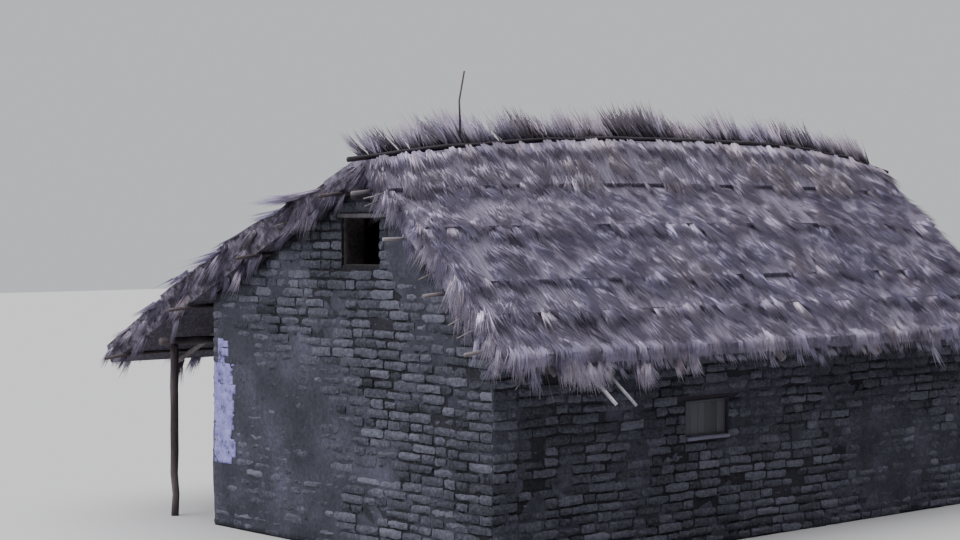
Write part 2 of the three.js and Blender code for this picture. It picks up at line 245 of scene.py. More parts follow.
# %% Finish helpers
def start_finish(name, roughness, stretch=(1, 1, 1), patch_scale=1.0, grain_scale=30.0):
    """A rough material with the weather group in it."""
    material = bpy.data.materials.new(name)
    material.use_nodes = True
    tree = material.node_tree
    shader = tree.nodes["Principled BSDF"]
    shader.inputs["Roughness"].default_value = roughness
    shader.inputs["Specular IOR Level"].default_value = 0.15
    coordinates = tree.nodes.new("ShaderNodeTexCoord")
    mapping = tree.nodes.new("ShaderNodeMapping")
    mapping.inputs["Scale"].default_value = stretch
    tree.links.new(coordinates.outputs["Object"], mapping.inputs["Vector"])
    weather = tree.nodes.new("ShaderNodeGroup")
    weather.node_tree = WEATHER
    weather.inputs["Patch Scale"].default_value = patch_scale
    weather.inputs["Grain Scale"].default_value = grain_scale
    tree.links.new(mapping.outputs["Vector"], weather.inputs["Vector"])
    return material, tree, shader, weather


def ramp(tree, value, stops):
    """Colours picked along a number. Stops are (place, colour) pairs."""
    node = tree.nodes.new("ShaderNodeValToRGB")
    tree.links.new(value, node.inputs["Fac"])
    elements = node.color_ramp.elements
    while len(elements) < len(stops):
        elements.new(0.5)
    for element, (place, color) in zip(elements, stops):
        element.position = place
        element.color = (*color, 1)
    return node.outputs["Color"]


def attribute(tree, name):
    """A number that the mesh carries at each point."""
    node = tree.nodes.new("ShaderNodeAttribute")
    node.attribute_name = name
    return node.outputs["Fac"]


def add_bump(tree, shader, height, distance, strength=1.0):
    """Relief that is too fine for the mesh."""
    bump = tree.nodes.new("ShaderNodeBump")
    bump.inputs["Distance"].default_value = distance
    bump.inputs["Strength"].default_value = strength
    tree.links.new(height, bump.inputs["Height"])
    tree.links.new(bump.outputs["Normal"], shader.inputs["Normal"])

# %% [markdown]
# Mud brick is grey-brown earth with bits of straw in it. Each brick dried a little lighter or darker, so the
# mesh carries a tone for each brick. The joints behind the bricks are the same mud, but washed out and dark.

# %% Mud finishes
def mud_finish(name, stops, shares, bump, patch_scale=0.8, grain_scale=26.0):
    """Dried mud. Shares are how much its shade follows slow patches, fine grain and the tone of the brick."""
    scales = {"patch_scale": patch_scale, "grain_scale": grain_scale}
    material, tree, shader, weather = start_finish(name, 0.95, **scales)
    sources = [weather.outputs["Patches"], weather.outputs["Grain"]]
    if len(shares) > len(sources):
        sources.append(attribute(tree, "tone"))
    middle = sum(shares) / 2 - 0.5
    value = maths(tree, "SUBTRACT", weighed(tree, *zip(sources, shares)), middle)
    tree.links.new(ramp(tree, value, stops), shader.inputs["Base Color"])
    add_bump(tree, shader, weather.outputs["Height"], bump)
    return material


BRICK_MUD = mud_finish("brick_mud", [
    (0.15, (0.022, 0.023, 0.030)), (0.50, (0.056, 0.058, 0.076)), (0.90, (0.118, 0.120, 0.156)),
], (0.7, 1.3, 0.55), bump=0.014)
JOINT_MUD = mud_finish("joint_mud", [
    (0.30, (0.010, 0.010, 0.013)), (0.70, (0.030, 0.030, 0.038)),
], (1.0, 1.0), bump=0.02)
PLASTER_MUD = mud_finish("plaster_mud", [
    (0.15, (0.022, 0.023, 0.031)), (0.50, (0.042, 0.043, 0.058)), (0.85, (0.078, 0.075, 0.112)),
], (1.2, 0.9), bump=0.012, patch_scale=1.6, grain_scale=18.0)
REVEAL_MUD = mud_finish("reveal_mud", [
    (0.20, (0.016, 0.014, 0.015)), (0.50, (0.040, 0.034, 0.036)), (0.80, (0.080, 0.070, 0.073)),
], (1.2, 0.9), bump=0.01, patch_scale=3.0, grain_scale=20.0)
LIMEWASH = mud_finish("limewash", [
    (0.20, (0.060, 0.058, 0.100)), (0.34, (0.170, 0.158, 0.350)), (0.60, (0.240, 0.225, 0.480)),
    (0.90, (0.300, 0.285, 0.560)),
], (1.5, 1.2), bump=0.01, patch_scale=6.0, grain_scale=34.0)

# %% [markdown]
# Weathered thatch is grey with a mauve cast. Fresh stems underneath and near the ridge are straw coloured.
# The mesh of the stems carries a tone for each bundle and a straw share, and the colour follows both.

# %% Thatch finish
GREY_TONES = [
    (0.06, (0.042, 0.036, 0.056)), (0.38, (0.270, 0.243, 0.370)), (0.65, (0.480, 0.437, 0.630)),
    (0.92, (0.620, 0.580, 0.760)),
]
STRAW_TONES = [(0.06, (0.060, 0.048, 0.060)), (0.46, (0.480, 0.408, 0.480)), (0.90, (0.740, 0.660, 0.740))]


def thatch_finish(name, shade):
    """Dry grass: dark at low tone, which the roots get as painted shade, mauve-grey on the weathered stems,
    straw where it is fresh. Shade is painted shade, taken off the whole finish.
    """
    material, tree, shader, weather = start_finish(name, 0.9, patch_scale=1.3, grain_scale=45.0)
    light = weighed(tree, (weather.outputs["Patches"], 0.35), (attribute(tree, "tone"), 0.75))
    value = maths(tree, "SUBTRACT", light, shade)
    mix = tree.nodes.new("ShaderNodeMix")
    mix.data_type = "RGBA"
    tree.links.new(attribute(tree, "straw"), mix.inputs["Factor"])
    tree.links.new(ramp(tree, value, GREY_TONES), mix.inputs["A"])
    tree.links.new(ramp(tree, value, STRAW_TONES), mix.inputs["B"])
    tree.links.new(mix.outputs["Result"], shader.inputs["Base Color"])
    add_bump(tree, shader, weather.outputs["Grain"], 0.004, 0.6)
    return material


def thatch_mass_finish(name, stretch, stops):
    """The dark body of the thatch, seen between the stems: streaks that run down the slope. The dark is
    painted shade, standing for the shade between the stems.
    """
    streaks = (1, stretch, stretch)
    material, tree, shader, weather = start_finish(name, 0.95, streaks, patch_scale=6.0, grain_scale=70.0)
    tree.links.new(ramp(tree, weather.outputs["Grain"], stops), shader.inputs["Base Color"])
    add_bump(tree, shader, weather.outputs["Grain"], 0.02)
    return material


THATCH = thatch_finish("dry_thatch", 0.0)
# The shaded thatch and the crest thatch are darker copies of the dry thatch: painted shade.
SHADED_THATCH = thatch_finish("shaded_thatch", 0.10)
CREST_THATCH = thatch_finish("crest_thatch", 0.20)
THATCH_MASS = thatch_mass_finish("thatch_mass", 0.06, [
    (0.35, (0.050, 0.044, 0.061)), (0.52, (0.150, 0.133, 0.186)), (0.72, (0.320, 0.285, 0.400)),
])
SHADED_MASS = thatch_mass_finish("shaded_mass", 0.2, [
    (0.35, (0.022, 0.019, 0.027)), (0.52, (0.084, 0.073, 0.098)), (0.72, (0.205, 0.180, 0.240)),
])

# %% [markdown]
# Poles are peeled or still in their bark. The grain runs along the pole, so the pattern is stretched that
# way. The boards are sawn wood that has greyed, and each carries a tone of its own.

# %% Wood finishes
def wood_finish(name, stops, stretch, bump=0.006, own=0.0):
    """Bark or weathered wood with its grain along the long side. Own is how much a board's tone counts."""
    material, tree, shader, weather = start_finish(name, 0.85, stretch, patch_scale=2.5, grain_scale=60.0)
    parts = [(weather.outputs["Patches"], 0.5), (weather.outputs["Grain"], 0.5)]
    if own > 0:
        parts.append((attribute(tree, "tone"), own))
    tree.links.new(ramp(tree, weighed(tree, *parts), stops), shader.inputs["Base Color"])
    add_bump(tree, shader, weather.outputs["Grain"], bump)
    return material


ALONG_X = (0.12, 1, 1)
ALONG_Z = (1, 1, 0.12)
ACROSS = (1, 0.2, 0.2)
DARK_TONES = [(0.30, (0.028, 0.022, 0.026)), (0.52, (0.075, 0.060, 0.066)), (0.75, (0.150, 0.125, 0.135))]
RIDGE_TONES = [(0.30, (0.014, 0.012, 0.016)), (0.55, (0.034, 0.028, 0.036)), (0.80, (0.110, 0.096, 0.115))]
PALE_TONES = [(0.30, (0.070, 0.060, 0.065)), (0.50, (0.170, 0.150, 0.160)), (0.75, (0.420, 0.395, 0.420))]
BOARD_TONES = [(0.30, (0.034, 0.034, 0.038)), (0.52, (0.058, 0.058, 0.066)), (0.80, (0.092, 0.091, 0.104))]
LINTEL_TONES = [(0.30, (0.034, 0.033, 0.037)), (0.55, (0.072, 0.069, 0.078)), (0.80, (0.130, 0.126, 0.140))]
SILL_TONES = [(0.30, (0.055, 0.054, 0.078)), (0.52, (0.105, 0.102, 0.145)), (0.80, (0.170, 0.165, 0.230))]
CUT_TONES = [(0.30, (0.240, 0.225, 0.250)), (0.50, (0.480, 0.460, 0.510)), (0.75, (0.700, 0.680, 0.740))]
DARK_POLE = wood_finish("bark_along", DARK_TONES, ALONG_X)
RIDGE_BARK = wood_finish("ridge_bark", RIDGE_TONES, ALONG_X)
DARK_POST = wood_finish("bark_upright", DARK_TONES, ALONG_Z)
PALE_POLE = wood_finish("peeled_along", PALE_TONES, ALONG_X)
PALE_RAFTER = wood_finish("peeled_across", PALE_TONES, ACROSS)
GREY_BOARD = wood_finish("grey_planks", BOARD_TONES, ALONG_Z, 0.003, 0.3)
LINTEL_BOARD = wood_finish("pale_plank", LINTEL_TONES, ACROSS, 0.004, 0.2)
SILL_BOARD = wood_finish("pale_sill", SILL_TONES, ALONG_X, 0.003, 0.2)
CUT_POLE = wood_finish("fresh_cut", CUT_TONES, ACROSS)
print("materials, with those of the frame:", len(bpy.data.materials))

# %% [markdown]
# The solids that keep showing get their finish here: the wall cores are the mud behind the bricks,
# and the thatch solids are the dark mass under the stems. The back slope lies in more shade.

# %% Dress the solids
def dress(names, material):
    """Puts a finish in the material slot of each named solid."""
    for name in names:
        nodes[name].material_slots[0].material = material


WALL_NODES = [name for name in nodes if "wall" in name and "plate" not in name]
THATCH_NODES = [name for name in nodes if "thatch" in name]
dress(WALL_NODES, JOINT_MUD)
dress(THATCH_NODES, THATCH_MASS)
dress([name for name in THATCH_NODES if name.startswith("back")], SHADED_MASS)
print("dressed", len(WALL_NODES), "walls and", len(THATCH_NODES), "thatch solids")

# %% [markdown]
# Small things by the thousand are quickest as one joined mesh: a shape is made once with operators,
# and arrays set it down at each place. The mesh then carries its numbers, such as tone, at every point.
# Every piece of the house goes through one function, which gives it its finish and its body.

# %% Joined meshes
ADDED = []


def link_piece(name, mesh):
    """An object for a mesh that already lies in its place."""
    piece = bpy.data.objects.new(name, mesh)
    bpy.context.scene.collection.objects.link(piece)
    return piece


def object_from(shape, name):
    """An object made of a bmesh, which is freed."""
    mesh = bpy.data.meshes.new(name)
    shape.to_mesh(mesh)
    shape.free()
    return link_piece(name, mesh)


def arrays_of(shape):
    """The points and the triangles of a bmesh, as arrays."""
    shape.verts.index_update()
    points = np.array([vertex.co[:] for vertex in shape.verts])
    faces = np.array([[vertex.index for vertex in face.verts] for face in shape.faces])
    return points, faces


def mesh_from_arrays(name, points, faces, values):
    """One object from points, faces with the same number of corners, and numbers at the points."""
    mesh = bpy.data.meshes.new(name)
    mesh.vertices.add(len(points))
    mesh.vertices.foreach_set("co", points.astype(np.float32).ravel())
    mesh.loops.add(faces.size)
    mesh.loops.foreach_set("vertex_index", faces.astype(np.int32).ravel())
    mesh.polygons.add(len(faces))
    mesh.polygons.foreach_set("loop_start", np.arange(0, faces.size, faces.shape[1], dtype=np.int32))
    mesh.update(calc_edges=True)
    for key, numbers in values.items():
        layer = mesh.attributes.new(key, "FLOAT", "POINT")
        layer.data.foreach_set("value", numbers.astype(np.float32).ravel())
    return link_piece(name, mesh)


def set_down(piece, material, slot, *replaced):
    """Gives a finished piece its material and its body, and hides what it replaces. The slot is not used."""
    piece.data.materials.append(material)
    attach(piece, "root")
    if replaced:
        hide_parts(*replaced)
    ADDED.append(piece)


# %% [markdown]
# A mud brick has no sharp edge left: rain has rounded it into a pillow. It is made once, as a cube of half
# size 1 that is cut into small faces. When it is set down, the points near its rim sink back, so the
# roundness stays the same whatever the size of the brick.

# %% Brick shape
def edges_along(shape, axis, least):
    """The edges that span more than a least distance along one axis."""
    return [edge for edge in shape.edges if abs((edge.verts[0].co - edge.verts[1].co)[axis]) > least]


def brick_shape(cuts_long, cuts_high):
    """Corner points and triangles of one block, cut along its length and its height."""
    shape = bmesh.new()
    bmesh.ops.create_cube(shape, size=2.0)
    for axis, cuts in ((0, cuts_long), (2, cuts_high)):
        edges = edges_along(shape, axis, 0.01)
        bmesh.ops.subdivide_edges(shape, edges=edges, cuts=cuts, use_grid_fill=True)
    back = [face for face in shape.faces if face.normal.y < -0.5]
    bmesh.ops.dissolve_faces(shape, faces=back)
    bmesh.ops.triangulate(shape, faces=shape.faces[:])
    points, faces = arrays_of(shape)
    shape.free()
    return points, faces


FINE_BRICK = brick_shape(4, 2)
PLAIN_BRICK = brick_shape(2, 1)
print(f"a brick has {len(FINE_BRICK[1])} triangles near the camera, and {len(PLAIN_BRICK[1])} elsewhere")

# %% [markdown]
# The bricks are about 400 x 200 x 100 mm, laid flat with thick joints. Most show their long side and some
# their end. The joints of one course don't line up with those of the next. A course stops at the openings
# and under the roof, where the last brick is cut to fit.

# %% Lay the courses
BRICK_LONG = 0.40
BRICK_END = 0.20
LONG_SHARE = 0.55
LENGTH_SHARES = (0.86, 1.12)
BRICK_HEIGHT = 0.101
JOINT = 0.018
PITCH = BRICK_HEIGHT + JOINT
SMALLEST_BRICK = 0.07
SCAN_STEP = 0.01


def runs_of(inside):
    """Start and end numbers of each stretch of true values."""
    padded = np.concatenate([[False], inside, [False]]).astype(int)
    change = np.diff(padded)
    return list(zip(np.flatnonzero(change == 1), np.flatnonzero(change == -1)))


def lay_run(start, end, rng, first):
    """Brick lengths that fill one run of a course."""
    bricks = []
    place = start
    length = first
    while end - place > SMALLEST_BRICK:
        stop = place + length
        if end - stop < SMALLEST_BRICK + JOINT:
            stop = end
        bricks.append((place, stop))
        place = stop + JOINT
        length = BRICK_LONG if rng.random() < LONG_SHARE else BRICK_END
        length *= rng.uniform(*LENGTH_SHARES)
    return bricks


def lay_wall(length, top_at, openings, seed):
    """All bricks of one wall face, as rows of middle and half size along the wall and up."""
    rng = np.random.default_rng(seed)
    along = np.arange(0, length + SCAN_STEP / 2, SCAN_STEP)
    tops = np.array([top_at(u) for u in along])
    rows = []
    for course in range(int(tops.max() / PITCH)):
        low = course * PITCH + JOINT / 2
        high = low + BRICK_HEIGHT
        inside = tops > high + JOINT
        for left, right, bottom, top in openings:
            if high > bottom and low < top:
                inside &= (along < left) | (along > right)
        for first, last in runs_of(inside):
            start = along[first]
            end = along[min(last, len(along)) - 1]
            first_length = (BRICK_LONG, BRICK_END)[course % 2]
            for u0, u1 in lay_run(start, end, rng, first_length):
                rows.append(((u0 + u1) / 2, (low + high) / 2, (u1 - u0) / 2, BRICK_HEIGHT / 2))
    return np.array(rows), rng


# %% [markdown]
# Rain has taken the edges and corners of every brick, and a few have lost their face. So each one gets its
# own wear, its own small lean and its own shade, and no course runs quite level.

# %% Wear the bricks
BRICK_DEPTH = 0.07
BRICK_PROUD = 0.026
OUT_OF_LINE = 0.006
HEIGHT_SHARES = (0.78, 1.10)
WORN_EDGE = 0.013
WEAR_SHARES = (0.7, 1.5)
END_ROUNDING = 0.006
BED_ROUNDING = 0.005
MOST_SUNK = 1.4
CORNER_REACH = 0.02
MOST_CHIPPED = 1.6
CHIPPED_LONG = 0.05
CHIPPED_HIGH = 0.16
NUDGE = 0.0042
TURNED = 0.014
NODDED = 4
FALLEN_SHARE = 0.05
FALLEN_DEPTH = 0.03
BRICK_TONES = (0.5, 0.22)
ROUND_BELOW = math.radians(32)


def worn_bricks(brick_points, rows, rng):
    """The points of each brick around its own middle, with its size, its wear and its lean."""
    count = len(rows)
    half = np.stack([rows[:, 2], np.full(count, BRICK_DEPTH / 2), rows[:, 3]], axis=1)
    half[:, 2] *= rng.uniform(*HEIGHT_SHARES, count)
    points = brick_points[None] * half[:, None]
    from_end = half[:, None, 0] - np.abs(points[:, :, 0])
    from_bed = half[:, None, 2] - np.abs(points[:, :, 2])
    worn = rng.uniform(*WEAR_SHARES, count)[:, None] * WORN_EDGE
    sunk = np.exp(-from_end / END_ROUNDING) + np.exp(-from_bed / BED_ROUNDING)
    front = (brick_points[:, 1] > 0.5)[None]
    points[:, :, 1] -= np.where(front, np.minimum(sunk, MOST_SUNK) * worn, 0)
    chipped = rng.uniform(0, MOST_CHIPPED, (count, len(brick_points)))
    corner = np.exp(-(from_end + from_bed) / CORNER_REACH) * chipped
    points[:, :, 0] *= 1 - corner * CHIPPED_LONG
    points[:, :, 2] *= 1 - corner * CHIPPED_HIGH
    points += rng.normal(0, NUDGE, points.shape)
    lean = rng.normal(0, TURNED, (count, 3))
    points[:, :, 1] += points[:, :, 0] * lean[:, 0:1] + points[:, :, 2] * lean[:, 1:2] * NODDED
    points[:, :, 2] += points[:, :, 0] * lean[:, 2:3]
    return points


def off_level(u, v, seed):
    """How far a course runs above or below its level line."""
    return 0.010 * np.sin(u * 1.7 + seed) + 0.006 * np.sin(u * 4.1 + v * 2)


def brick_face(name, brick, origin, along, outward, length, top_at, openings, seed):
    """The bricks of one wall face as a joined mesh, a little proud of the wall's core."""
    brick_points, brick_faces = brick
    rows, rng = lay_wall(length, top_at, openings, seed)
    count = len(rows)
    points = worn_bricks(brick_points, rows, rng)
    fallen = np.where(rng.random(count) < FALLEN_SHARE, FALLEN_DEPTH, 0)
    proud = BRICK_PROUD + rng.normal(0, OUT_OF_LINE, count) - fallen - BRICK_DEPTH / 2
    high = rows[:, 1] + off_level(rows[:, 0], rows[:, 1], seed)
    points += np.stack([rows[:, 0], proud, high], axis=1)[:, None]
    basis = np.array([along, outward, (0, 0, 1)], dtype=float)
    world = points @ basis + np.array(origin)
    world[:, :, 2] = np.maximum(world[:, :, 2], 0)
    corners = brick_faces if np.linalg.det(basis) > 0 else brick_faces[:, ::-1]
    faces = corners[None] + (np.arange(count) * len(brick_points))[:, None, None]
    tone = np.repeat(rng.normal(*BRICK_TONES, count), len(brick_points))
    piece = mesh_from_arrays(name, world.reshape(-1, 3), faces.reshape(-1, 3), {"tone": tone})
    piece.data.shade_smooth()
    piece.data.set_sharp_from_angle(angle=ROUND_BELOW)
    set_down(piece, BRICK_MUD, "adobe")
    print(name, "has", count, "bricks and", count * len(brick_faces), "triangles")


# %% [markdown]
# The height of each wall is read from its solid, by a ray that falls on its middle. An opening is where the
# bricks stop: the lintel that shows in the wall, and the hole under it, which is as much narrower as the
# lintel is held in the wall at each end.

# %% Heights and openings of the walls
HIGH_UP = 20.0
DOWN = Vector((0, 0, -1))
INSIDE_END = 0.004
VENT_HEIGHT = 0.58
VENT_MARGIN = 0.1
DOOR_MARGIN = 0.2


def tree_of(names):
    """A search tree over the faces of some solids."""
    points = []
    faces = []
    for name in names:
        mesh = nodes[name].data
        first = len(points)
        points.extend(vertex.co.copy() for vertex in mesh.vertices)
        faces.extend([first + index for index in face.vertices] for face in mesh.polygons)
    return BVHTree.FromPolygons(points, faces)


def top_finder(names, length, place_at):
    """A function from a distance along a wall to the height of that wall's top."""
    tree = tree_of(names)

    def top_at(distance):
        place = place_at(min(max(distance, INSIDE_END), length - INSIDE_END))
        hit = tree.ray_cast(Vector((place.x, place.y, HIGH_UP)), DOWN)[0]
        return hit.z if hit else 0.0

    return top_at


def opening_of(axis, *names):
    """Left, right, bottom and top of what some solids fill in a wall, from the near corner."""
    boxes = [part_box(name) for name in names]
    low = [min(box[0][i] for box in boxes) - CORNER[i] for i in range(3)]
    high = [max(box[1][i] for box in boxes) - CORNER[i] for i in range(3)]
    return low[axis], high[axis], low[2], high[2]


def vent_openings(name):
    """The lintel over a gable window, and the window."""
    left, right, bottom, top = opening_of(1, name)
    window = (left + VENT_MARGIN, right - VENT_MARGIN, bottom - VENT_HEIGHT, bottom)
    return [(left, right, bottom, top), window]


half_wall = WALL_THICKNESS / 2
front_nodes = ["near_gable_wall", "front_wall", "far_gable_wall"]
gable_top = top_finder(["near_gable_wall"], WALL_WIDTH, lambda u: spot(half_wall, u, 0))
front_core_top = top_finder(front_nodes, WALL_LENGTH, lambda u: spot(u, half_wall, 0))
back_top = top_finder(WALL_NODES, WALL_LENGTH, lambda u: spot(u, WALL_WIDTH - half_wall, 0))
low_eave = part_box("front_wall")[1].z
door_left, door_right, door_top, lintel_top = opening_of(0, "door_lintel")
door = (door_left + DOOR_MARGIN, door_right - DOOR_MARGIN, 0.0, door_top)
front_hole = opening_of(0, "front_window_frame", "front_window_sill")


def front_top(distance):
    """The height of the front wall, which is level also where the gables rise behind it."""
    return min(front_core_top(distance), low_eave)


print(f"walls rise to {low_eave:.2f} m in front and {back_top(WALL_LENGTH / 2):.2f} m at the back")

# %% [markdown]
# A wall face is given by its origin, the way along it, the way out of it, its length, its height and its
# openings. The two faces that the camera sees get the bricks with more triangles.

# %% Brick faces of the four walls
WALL_FACES = {
    "near_gable": (spot(0, 0, 0), (0, 1, 0), (-1, 0, 0), WALL_WIDTH, gable_top,
                   vent_openings("near_gable_window_lintel")),
    "far_gable": (spot(WALL_LENGTH, 0, 0), (0, 1, 0), (1, 0, 0), WALL_WIDTH, gable_top,
                  vent_openings("far_gable_window_lintel")),
    "front": (spot(0, 0, 0), (1, 0, 0), (0, -1, 0), WALL_LENGTH, front_top,
              [opening_of(0, "front_window_lintel"), front_hole]),
    "back": (spot(0, WALL_WIDTH, 0), (1, 0, 0), (0, 1, 0), WALL_LENGTH, back_top,
             [(door_left, door_right, door_top, lintel_top), door]),
}
for number, (wall, face) in enumerate(WALL_FACES.items()):
    brick = FINE_BRICK if wall in ("near_gable", "front") else PLAIN_BRICK
    brick_face(f"bricks_{wall}", brick, *face, 11 + number)

# %% [markdown]
# Mud plaster once covered the walls, and rain has washed most of it off. What is left is one uneven coat:
# thick where it still hides the bricks, thin where it only fills the joints, and gone elsewhere. So the coat
# is a single grid that rises and sinks through the bricks, and their crossing gives it a natural edge.

# %% Mud coat
COAT_CELL = 0.09
COAT_BACK = 0.03
COAT_HIDDEN = -0.002
COAT_LEVEL = -0.001
COAT_WAVES = ((1.1, 0.018), (4.0, 0.016), (12.0, 0.008))
COAT_THICK = 0.032
COAT_MOST = 0.034
COAT_RAGGED = 0.35
COAT_FOOT = 0.02
OFF_OPENING = 0.03
OFF_TOP = 0.06
TOP_SAMPLES = 40


def oval_share(u, v, middle, half, sharp):
    """From 1 inside an oval spot on the wall to 0 well outside it."""
    away = math.hypot((u - middle[0]) / half[0], (v - middle[1]) / half[1])
    return 1 / (1 + math.exp((away - 1) * sharp))


def coat_height(u, v, spots, drift):
    """How far the coat stands out from the wall's core at a place. It is thickest in its spots."""
    place = Vector((u, v, 0))
    height = COAT_LEVEL + sum(size * noise.noise(place * scale + drift) for scale, size in COAT_WAVES)
    rim = COAT_RAGGED * noise.noise(place * 3.0 - drift)
    for middle, half in spots:
        share = oval_share(u, v, middle, half, 9.0) + rim * oval_share(u, v, middle, half, 2.0)
        height += COAT_THICK * max(0.0, share)
    return min(height, COAT_MOST)


def near_opening(u, v, openings):
    """Whether a place on a wall lies in an opening or just beside it."""
    return any(left - OFF_OPENING < u < right + OFF_OPENING and low - OFF_OPENING < v < high + OFF_OPENING
               for left, right, low, high in openings)


def face_towards(shape, seen, direction):
    """Makes the faces of a sheet agree, and turns it over if its seen faces look away from a direction."""
    bmesh.ops.recalc_face_normals(shape, faces=shape.faces[:])
    if sum((face.normal for face in seen), Vector()).dot(direction) < 0:
        bmesh.ops.reverse_faces(shape, faces=shape.faces[:])


def mud_coat(name, origin, along, outward, length, top_at, openings, spots, seed):
    """The uneven coat of one wall. Spots are places, as middle and half size, where it is thick."""
    top = max(top_at(length * sample / TOP_SAMPLES) for sample in range(TOP_SAMPLES + 1))
    columns, rows = round(length / COAT_CELL), round(top / COAT_CELL)
    shape = bmesh.new()
    bmesh.ops.create_grid(shape, x_segments=columns, y_segments=rows, size=0.5)
    drift = Vector((seed * 7.3, seed * 3.9, 0))
    along, outward = Vector(along), Vector(outward)
    heights = {}
    for vertex in shape.verts:
        u, v = (vertex.co.x + 0.5) * length, (vertex.co.y + 0.5) * top
        heights[vertex] = coat_height(u, v, spots, drift)
        vertex.co = origin + along * u + outward * heights[vertex] + Vector((0, 0, max(v, COAT_FOOT)))
    gone = []
    for face in shape.faces:
        middle = face.calc_center_median() - origin
        u, v = middle.dot(along), middle.z
        hidden = all(heights[vertex] < COAT_HIDDEN for vertex in face.verts)
        if hidden or near_opening(u, v, openings) or v > top_at(u) - OFF_TOP:
            gone.append(face)
    bmesh.ops.delete(shape, geom=gone, context="FACES")
    face_towards(shape, shape.faces, outward)
    bmesh.ops.solidify(shape, geom=shape.faces[:], thickness=COAT_BACK)
    piece = object_from(shape, name)
    piece.data.shade_smooth()
    set_down(piece, PLASTER_MUD, "adobe")
    print(name, "has", len(piece.data.polygons), "faces")


COAT_SPOTS = {
    "near_gable": [((4.1, 1.0), (1.5, 1.35)), ((1.45, 3.62), (0.42, 0.42)), ((4.9, 2.2), (0.5, 0.9))],
    "far_gable": [((1.6, 1.2), (1.3, 1.1))],
    "front": [((7.4, 0.8), (1.0, 0.7))],
    "back": [((2.2, 1.0), (1.6, 1.0)), ((7.5, 1.6), (1.5, 0.9))],
}
for number, (wall, spots) in enumerate(COAT_SPOTS.items()):
    mud_coat(f"coat_{wall}", *WALL_FACES[wall], spots, 1 + number)

# %% [markdown]
# A strip of limewash is left on the gable beside the veranda. It was brushed on, so it follows the bricks,
# and its edge has teeth where a brick's end still carries it. It is a thin sheet from a grid with the faces
# outside the teeth deleted.

# %% Limewash
WASH_CELL = 0.03
WASH_THICKNESS = 0.02
WASH_OUT = 0.040
BED_SUNK = 0.008
TEETH = (-0.04, 0.10)
MOST_TEETH = 60


def limewash(name, low, high, seed):
    """A thin sheet on the near gable from its lowest to its highest corner along the wall and up."""
    width, height = high[0] - low[0], high[1] - low[1]
    columns, rows = round(width / WASH_CELL), round(height / WASH_CELL)
    shape = bmesh.new()
    bmesh.ops.create_grid(shape, x_segments=columns, y_segments=rows, size=0.5)
    rng = random.Random(seed)
    teeth = [rng.uniform(*TEETH) for _ in range(MOST_TEETH)]
    gone = []
    for face in shape.faces:
        middle = face.calc_center_median()
        u, v = (middle.x + 0.5) * width, low[1] + (middle.y + 0.5) * height
        ragged = 0.05 * noise.noise(Vector((u * 9, v * 9, seed)))
        if u < teeth[int(v / PITCH)] + ragged or height * (0.5 - abs(middle.y)) < ragged:
            gone.append(face)
    bmesh.ops.delete(shape, geom=gone, context="FACES")
    for vertex in shape.verts:
        u, v = low[0] + (vertex.co.x + 0.5) * width, low[1] + (vertex.co.y + 0.5) * height
        from_middle = abs((v % PITCH) / PITCH - 0.5) * 2
        out = WASH_OUT - BED_SUNK * from_middle ** 4 + 0.003 * noise.noise(Vector((u * 8, v * 8, 2)))
        vertex.co = spot(-out, u, v)
    face_towards(shape, shape.faces, Vector((-1, 0, 0)))
    bmesh.ops.solidify(shape, geom=shape.faces[:], thickness=WASH_THICKNESS)
    piece = object_from(shape, name)
    piece.data.shade_smooth()
    set_down(piece, LIMEWASH, "adobe")
    print(name, "is", round(width, 2), "m wide and", round(height, 2), "m high")


limewash("limewash_low", (4.97, 0.85), (5.45, 2.17), 3)
limewash("limewash_high", (5.13, 2.14), (5.36, 2.50), 4)

# %% [markdown]
# A bundle of thatch is a handful of stiff stems that fan out a little. It is made once for each of a few
# kinds, from thin three-sided cones, with its root at zero and its tips along Y. Arrays set it down later.
# One kind has a knee, for the eaves, where the stems run out over the edge and then hang.

# %% Bundles of stems
HANG_TURN = math.radians(42)
STEM_LENGTHS = (0.62, 1.0)
STEM_STARTS = (0, 0.15)
STEM_LIFTS = (0.1, 1.0)


def bend_down(shape, knee):
    """Turns what lies past the knee down by the angle between the slope and a plumb line."""
    for vertex in shape.verts:
        past = max(0.0, vertex.co.y - knee)
        vertex.co.y -= past * (1 - math.cos(HANG_TURN))
        vertex.co.z -= past * math.sin(HANG_TURN)


def bundle_shape(seed, width, length, thickness, fan, lift, stems=12, radius=(0.0055, 0.0095), knee=0.0):
    """Points, triangles, each stem's own shade, and the share along the bundle, for one bundle. Fan is the
    angle between its outer stems, and lift the steepest that a stem may rise, both in radians."""
    rng = random.Random(seed)
    shape = bmesh.new()
    own_shade = shape.verts.layers.float.new("shade")
    for _ in range(stems):
        size = length * rng.uniform(*STEM_LENGTHS)
        aside = rng.uniform(-0.5, 0.5) * width
        turn = Matrix.Rotation(-aside / width * fan + rng.gauss(0, 0.05), 4, "Z")
        raised = Matrix.Rotation(lift * rng.uniform(*STEM_LIFTS), 4, "X")
        lying = Matrix.Rotation(-math.pi / 2, 4, "X") @ Matrix.Translation((0, 0, size / 2))
        start = (aside, rng.uniform(*STEM_STARTS) * length, rng.uniform(0, 1) * thickness)
        place = Matrix.Translation(start) @ turn @ raised @ lying
        thick = rng.uniform(*radius)
        stem = bmesh.ops.create_cone(shape, cap_ends=True, segments=3, radius1=thick, radius2=0.0, depth=size,
                                     matrix=place)
        shade = rng.uniform(-1, 1)
        for vertex in stem["verts"]:
            vertex[own_shade] = shade
    if knee:
        everything = shape.verts[:] + shape.edges[:] + shape.faces[:]
        bmesh.ops.bisect_plane(shape, geom=everything, plane_co=(0, knee, 0), plane_no=(0, 1, 0))
    bmesh.ops.triangulate(shape, faces=shape.faces[:])
    shares = np.array([vertex.co.y / length for vertex in shape.verts])
    if knee:
        bend_down(shape, knee)
    points, faces = arrays_of(shape)
    shades = np.array([vertex[own_shade] for vertex in shape.verts])
    shape.free()
    return points, faces, shades, shares


